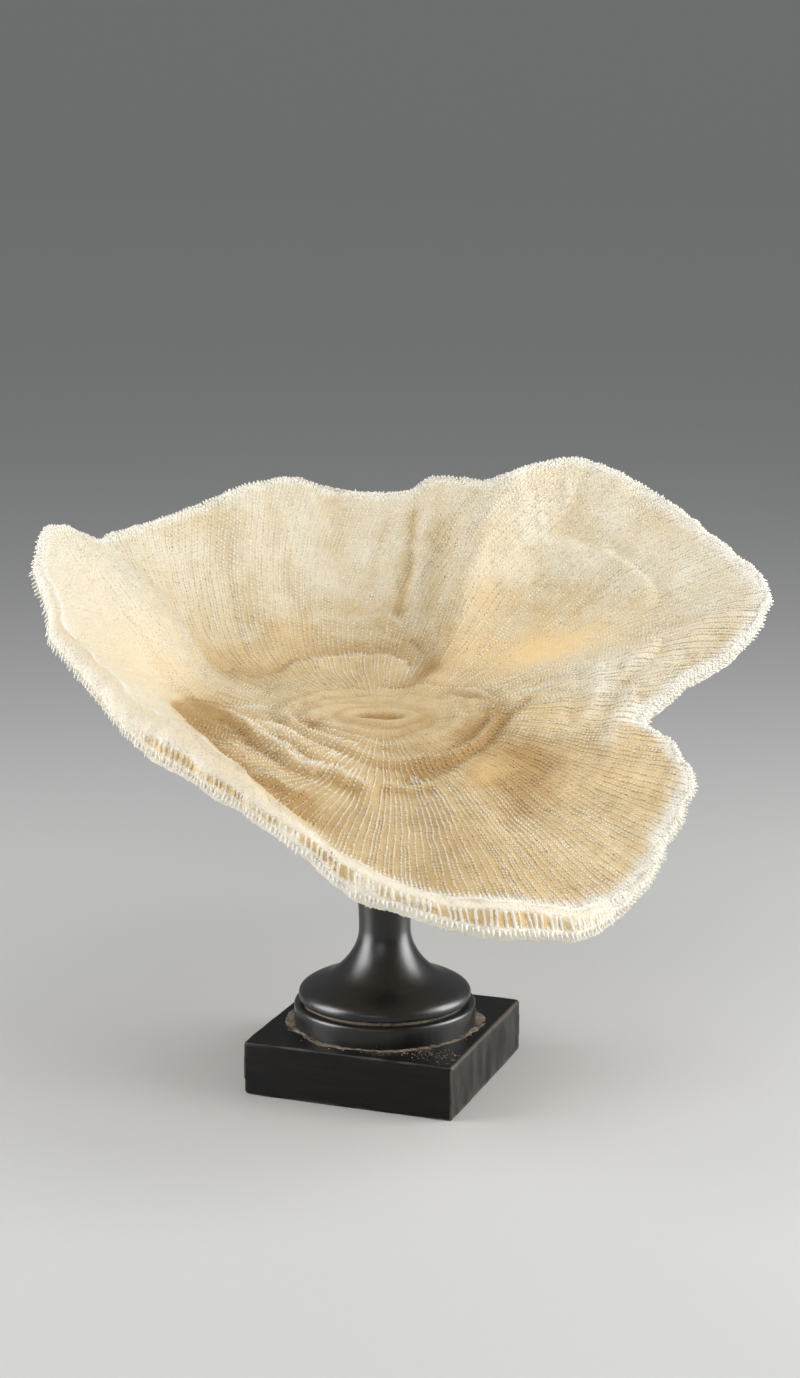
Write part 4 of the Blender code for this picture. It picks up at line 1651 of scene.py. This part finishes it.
class CUPCORAL_OT_pedestal(bpy.types.Operator):
    """Turn the pedestal from its outline and mark where dust lies on it."""

    bl_idname = "cupcoral.pedestal"
    bl_label = "Pedestal"

    def execute(self, context):
        outline = pedestal_profile()
        clear_selection()
        bpy.ops.mesh.primitive_plane_add(size=MM)
        piece = bpy.context.object
        name_piece(piece, "turned_pedestal")
        bpy.ops.object.mode_set(mode="EDIT")
        bpy.ops.mesh.merge(type="CENTER")
        reach, height = outline[0]
        bpy.ops.transform.translate(value=(reach * MM, 0.0, height * MM))
        for (old_reach, old_height), (reach, height) in zip(outline, outline[1:]):
            step = ((reach - old_reach) * MM, 0.0, (height - old_height) * MM)
            bpy.ops.mesh.extrude_region_move(TRANSFORM_OT_translate={"value": step})
        bpy.ops.mesh.select_all(action="SELECT")
        bpy.ops.mesh.spin(
            steps=TURNED_STEPS, angle=2 * math.pi, center=(0.0, 0.0, 0.0), axis=(0.0, 0.0, 1.0)
        )
        bpy.ops.object.mode_set(mode="OBJECT")
        close_up()
        bpy.ops.object.shade_smooth_by_angle(angle=math.radians(35))
        self.mark(piece.data)
        wood = wood_finish("turned_ebony", context.scene.cupcoral_stand, (420.0, 420.0, 28.0), 0.19, 0.5)
        finish_piece(piece, wood, "ebonised_wood", "pedestal")
        return {"FINISHED"}

    def mark(self, mesh):
        """Dust in the quirk above the disc and at its foot, and wear on the rounded edges."""
        points = read_points(mesh) / MM
        height = points[:, 2]
        radius = np.hypot(points[:, 0], points[:, 1])
        ledge_z = PLINTH_HEIGHT + GAP + DISC_HEIGHT
        quirk = hump(height - ledge_z - 0.5, 1.0) * (radius < LEDGE_RADIUS + 2.2)
        foot = 0.6 * hump(height - PLINTH_HEIGHT, 1.3)
        band = hump(height - ledge_z - LEDGE_HEIGHT - 0.6, 0.9) * 0.35
        wear = 0.25 * (np.abs(radius - DISC_RADIUS) < 0.8) * (height > ledge_z - 1.6)
        uneven = 1 + 0.5 * waver(points, 9.0, 22)
        set_fields(mesh, {"dust": np.clip((0.9 * quirk + foot + band) * uneven, 0, 1), "wear": wear})


class CUPCORAL_OT_plinth(bpy.types.Operator):
    """Shape the plinth's block, round its edges by wear and mark dust, scuffs and a painted sheen on it."""

    bl_idname = "cupcoral.plinth"
    bl_label = "Plinth"

    # Cuts near each edge, as shares of the half side, so that the worn edge is round
    NEAR_EDGE = (1.0, 0.9955, 0.990, 0.983, 0.974, 0.955)
    CUTS = 39

    # Scuffed place at the front right of the top: centre and radii in plan
    SCUFF_CENTRE = (38, -38)
    SCUFF_RADII = (9, 7)

    def execute(self, context):
        stand = context.scene.cupcoral_stand
        clear_selection()
        bpy.ops.mesh.primitive_cube_add(size=2.0)
        piece = bpy.context.object
        name_piece(piece, "wooden_plinth")
        bpy.ops.object.mode_set(mode="EDIT")
        bpy.ops.mesh.subdivide(number_cuts=self.CUTS)
        bpy.ops.object.mode_set(mode="OBJECT")
        points = self.spread(read_points(piece.data))
        half = np.array((PLINTH_SIDE / 2, PLINTH_SIDE / 2, PLINTH_HEIGHT / 2))
        points = points * half
        radius = stand.edge_wear / MM * (1.0 + 0.45 * waver(points, 9.0, 23) + 0.25 * waver(points, 3.5, 24))
        corner = np.prod(np.abs(points) > half - 7.0, axis=-1)
        radius = (radius * (1 + 0.6 * corner))[:, None]
        inner = np.clip(points, radius - half, half - radius)
        off = points - inner
        far = np.linalg.norm(off, axis=-1, keepdims=True)
        rounded = np.where(far > 1e-6, inner + off / np.maximum(far, 1e-6) * radius, points)
        edge = np.sort(half - np.abs(rounded), axis=-1)[:, 1]
        rounded[:, 2] += PLINTH_HEIGHT / 2
        write_points(piece.data, rounded * MM)
        self.mark(piece.data, rounded, edge)
        pick(piece)
        close_up()
        bpy.ops.object.shade_smooth_by_angle(angle=math.radians(40))
        wood = wood_finish("sawn_ebony", stand, (30.0, 420.0, 300.0), 0.34, 0.18)
        finish_piece(piece, wood, "plinth_wood", "plinth")
        return {"FINISHED"}

    def spread(self, points):
        """Move the even cuts so that some lie close to each edge."""
        even = np.linspace(-1.0, 1.0, self.CUTS + 2)
        near = np.array(self.NEAR_EDGE)
        middle = np.linspace(-near[-1], near[-1], len(even) - 2 * len(near) + 2)[1:-1]
        wanted = np.concatenate((-near, middle, near[::-1]))
        return np.interp(points, even, wanted)

    def mark(self, mesh, points, edge):
        """Wear on the edges, dust on the top, scuffs at the front right of it, and a painted sheen that
        lightens the right face.
        """
        wear = hump(edge, 1.3) * (0.75 + 0.5 * waver(points, 7.0, 25))
        on_top = points[:, 2] > PLINTH_HEIGHT - 1.0
        near_ring = hump(np.hypot(points[:, 0], points[:, 1]) - DISC_RADIUS - 2, 5)
        dust = on_top * (0.22 + 0.2 * near_ring + 0.14 * waver(points, 14.0, 26))
        scuff = oval(points[:, 0], points[:, 1], self.SCUFF_CENTRE, self.SCUFF_RADII)
        # Painted sheen: the right face is lightened through the worn and dust colours, in vertical streaks,
        # as if lit from the right.
        sheen_face = points[:, 0] > PLINTH_SIDE / 2 - 1.0
        dust = dust + on_top * scuff * 0.2 + 0.12 * sheen_face
        wear = wear + 0.55 * sheen_face * (1 + 0.7 * waver(points * (1, 1, 0.2), 3.0, 28))
        set_fields(mesh, {"dust": np.clip(dust, 0, 1), "wear": np.clip(wear, 0, 1)})


class CUPCORAL_OT_residue(bpy.types.Operator):
    """Lay the uneven ring of old glue and dust around the joint of pedestal and plinth."""

    bl_idname = "cupcoral.residue"
    bl_label = "Old glue ring"

    # Ratio of the ring's two radii before it is shaped, and the crumbs at the scuff and round the ring
    RATIO = 0.1
    CRUMBS = 70

    # Thick places of the ring: direction in the world, extra width, half spread in degrees
    THICK = ((20, 3.4, 16), (52, 1.2, 20), (200, 2.6, 24), (243, 2.2, 9), (268, 0.9, 14), (330, 0.9, 20))

    def execute(self, context):
        clear_selection()
        bpy.ops.mesh.primitive_torus_add(
            major_radius=1.0, minor_radius=self.RATIO, major_segments=288, minor_segments=16
        )
        piece = bpy.context.object
        name_piece(piece, "old_glue_ring")
        points = read_points(piece.data)
        direction = np.degrees(np.arctan2(points[:, 1], points[:, 0])) % FULL_TURN
        outward = (np.hypot(points[:, 0], points[:, 1]) - 1.0) / self.RATIO
        upward = points[:, 2] / self.RATIO
        angle = np.radians(direction)
        way = np.stack((np.cos(angle), np.sin(angle)), axis=-1)
        ring = np.column_stack((way * DISC_RADIUS, np.zeros(len(way))))
        width = 1.3 + 0.9 * waver(ring, 7.0, 29) + 0.7 * waver(ring, 2.5, 30)
        for place, extra, spread in self.THICK:
            width = width + extra * hump(turned_from(direction, place), spread)
        width = np.maximum(width, 0.35)
        radius = DISC_RADIUS - 0.4 + (outward + 1) / 2 * (width + 0.4)
        thick = 0.6 + 0.3 * waver(ring, 4.0, 31)
        height = PLINTH_HEIGHT - 0.15 + thick * (upward + 1) / 2 * (1 - 0.35 * (outward + 1) / 2)
        lumps = 0.25 * waver(np.column_stack((way * radius[:, None], height)), 1.6, 32) * (upward > 0)
        shaped = np.column_stack((way * radius[:, None], height + lumps))
        write_points(piece.data, shaped * MM)
        pick(piece)
        close_up()
        bpy.ops.object.shade_smooth()
        glue = residue_finish(context.scene.cupcoral_stand)
        finish_piece(piece, glue, None)
        self.add_crumbs(glue)
        return {"FINISHED"}

    def add_crumbs(self, glue):
        """Crumbs on the plinth's top, thickest at its front corner."""
        random = np.random.default_rng(91)
        scuffed = random.normal((34.0, -37.0), (8.0, 5.0), (self.CRUMBS, 2))
        angle = random.uniform(0.0, 2 * math.pi, self.CRUMBS)
        reach = DISC_RADIUS + random.uniform(1.0, 5.0, self.CRUMBS)
        ringed = np.column_stack((np.cos(angle), np.sin(angle))) * reach[:, None]
        places = np.concatenate((scuffed, ringed))
        inside = (np.abs(places).max(axis=-1) < PLINTH_SIDE / 2 - 2) & (np.hypot(*places.T) > DISC_RADIUS + 1)
        places = np.column_stack((places[inside], np.full(inside.sum(), PLINTH_HEIGHT + 0.05)))
        count = len(places)
        ways = np.column_stack((random.uniform(-0.3, 0.3, (count, 2)), np.ones(count)))
        radii = random.uniform(0.18, 0.55, count)
        crumbs = Copies(crumb_shape())
        crumbs.add(places, ways, radii * 0.6, radii, {})
        finish_piece(joined_piece("plinth_crumbs", crumbs), glue, None)


class CUPCORAL_OT_pin(bpy.types.Operator):
    """Give the hidden mounting pin its brushed steel."""

    bl_idname = "cupcoral.pin"
    bl_label = "Mounting pin"

    def execute(self, context):
        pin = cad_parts["mounting_pin"]
        pin.data.materials.clear()
        pin.data.materials.append(pin_finish())
        return {"FINISHED"}


def add_softbox(name, azimuth, elevation, distance, size, power, aim):
    """A rectangular area light that looks at a point, placed by its direction seen from the camera's."""
    data = bpy.data.lights.new(name, "AREA")
    data.shape = "RECTANGLE"
    data.size = size[0]
    data.size_y = size[1]
    data.energy = power
    light = bpy.data.objects.new(name, data)
    bpy.context.scene.collection.objects.link(light)
    turn = math.radians(CAMERA_AZIMUTH + azimuth)
    rise = math.radians(elevation)
    way = Vector((math.sin(turn) * math.cos(rise), -math.cos(turn) * math.cos(rise), math.sin(rise)))
    light.location = aim + way * distance
    light.rotation_mode = "QUATERNION"
    light.rotation_quaternion = way.to_track_quat("Z", "Y")
    light.visible_camera = False
    return light


class CUPCORAL_OT_studio(bpy.types.Operator):
    """Set up the pale floor, the soft lights and the camera at the photograph's angle."""

    bl_idname = "cupcoral.studio"
    bl_label = "Studio"

    # Side of the floor and how far its rim rises, aim of the softboxes above the floor, height of the low
    # strips and their width, all in metres
    FLOOR_SIDE = 60.0
    FLOOR_RISE = 6.0
    AIM_HEIGHT = 0.17
    STRIP_HEIGHT = 0.30
    STRIP_WIDTH = 0.18

    def execute(self, context):
        studio = context.scene.cupcoral_studio
        self.add_floor(studio)
        self.add_lights(context, studio)
        self.add_camera(context)
        return {"FINISHED"}

    def add_floor(self, studio):
        """A wide, plain floor, whose far rim rises so that the photograph's view has no horizon."""
        clear_selection()
        bpy.ops.mesh.primitive_plane_add(size=self.FLOOR_SIDE)
        floor = bpy.context.object
        floor.name = "floor"
        bpy.ops.object.mode_set(mode="EDIT")
        bpy.ops.mesh.subdivide(number_cuts=3)
        bpy.ops.object.mode_set(mode="OBJECT")
        points = read_points(floor.data)
        edge = np.abs(points).max(axis=-1) > 0.9 * points.max()
        points[edge, 2] = self.FLOOR_RISE
        write_points(floor.data, points)
        bpy.ops.object.shade_smooth()
        floor.data.materials.append(floor_finish(studio))

    def add_lights(self, context, studio):
        """Softboxes right, left, above and in front, low strips for the neck, and an even surround."""
        aim = Vector((0.0, 0.0, self.AIM_HEIGHT))
        add_softbox("softbox_right", 82, 23, 1.05, (0.7, 1.1), studio.key_power, aim)
        add_softbox("softbox_left", -82, 23, 1.05, (0.7, 1.1), studio.fill_power, aim)
        add_softbox("softbox_top", 10, 56, 1.3, (0.9, 0.9), studio.top_power, aim)
        add_softbox("softbox_front", -18, 16, 1.7, (1.0, 0.6), studio.front_power, aim)
        for name, azimuth in (("strip_left", -78), ("strip_right", 92)):
            low = Vector((0.0, 0.0, self.STRIP_HEIGHT / 2 + 0.005))
            size = (self.STRIP_WIDTH, self.STRIP_HEIGHT)
            strip = add_softbox(name, azimuth, 0, 0.28, size, studio.strip_power, low)
            strip.visible_diffuse = False
        world = bpy.data.worlds.new("surround")
        world.use_nodes = True
        background = world.node_tree.nodes["Background"]
        background.inputs["Color"].default_value = (*studio.surround, 1.0)
        background.inputs["Strength"].default_value = 0.5
        context.scene.world = world
        context.scene.view_settings.view_transform = "Standard"

    def add_camera(self, context):
        """The camera that was fitted to the photograph."""
        turn = math.radians(CAMERA_AZIMUTH)
        rise = math.radians(CAMERA_ELEVATION)
        back = Vector((math.sin(turn) * math.cos(rise), -math.cos(turn) * math.cos(rise), math.sin(rise)))
        right = Vector((math.cos(turn), math.sin(turn), 0.0))
        up = back.cross(right)
        target = right * CAMERA_TARGET_RIGHT * MM + Vector((0.0, 0.0, CAMERA_TARGET_UP * MM))
        data = bpy.data.cameras.new("camera")
        data.sensor_fit = "AUTO"
        data.sensor_width = SENSOR_WIDTH
        data.lens = SENSOR_WIDTH * FOCAL_PIXELS / FRAME_HEIGHT_PIXELS
        data.clip_start = 0.05
        camera = bpy.data.objects.new("camera", data)
        context.scene.collection.objects.link(camera)
        matrix = Matrix((right, up, back)).transposed().to_4x4()
        matrix.translation = target + back * CAMERA_DISTANCE * MM
        camera.matrix_world = matrix
        context.scene.camera = camera


OPERATORS = (
    CUPCORAL_OT_body,
    CUPCORAL_OT_septa,
    CUPCORAL_OT_margin,
    CUPCORAL_OT_ribs,
    CUPCORAL_OT_pedestal,
    CUPCORAL_OT_plinth,
    CUPCORAL_OT_residue,
    CUPCORAL_OT_pin,
    CUPCORAL_OT_studio,
)


class CUPCORAL_PT_panel(bpy.types.Panel):
    """The settings and the steps that build the coral, in the sidebar."""

    bl_idname = "CUPCORAL_PT_panel"
    bl_label = "Cup coral"
    bl_space_type = "VIEW_3D"
    bl_region_type = "UI"
    bl_category = "Cup coral"

    def draw(self, context):
        for settings in (
            context.scene.cupcoral_coral,
            context.scene.cupcoral_stand,
            context.scene.cupcoral_studio,
        ):
            box = self.layout.box()
            for name in settings.__annotations__:
                box.prop(settings, name)
        for operator in OPERATORS:
            self.layout.operator(operator.bl_idname)


GROUPS = {
    "cupcoral_coral": CUPCORAL_PG_coral,
    "cupcoral_stand": CUPCORAL_PG_stand,
    "cupcoral_studio": CUPCORAL_PG_studio,
}
CLASSES = (*GROUPS.values(), *OPERATORS, CUPCORAL_PT_panel)


def register():
    """Add the classes and the settings to Blender."""
    for kind in CLASSES:
        bpy.utils.register_class(kind)
    for name, group in GROUPS.items():
        setattr(bpy.types.Scene, name, bpy.props.PointerProperty(type=group))


def unregister():
    """Take the settings and the classes out again."""
    for name in GROUPS:
        delattr(bpy.types.Scene, name)
    for kind in reversed(CLASSES):
        bpy.utils.unregister_class(kind)


def main():
    """Register the add-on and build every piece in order."""
    register()
    for operator in OPERATORS:
        group, name = operator.bl_idname.split(".")
        getattr(getattr(bpy.ops, group), name)()


if __name__ == "__main__":
    main()
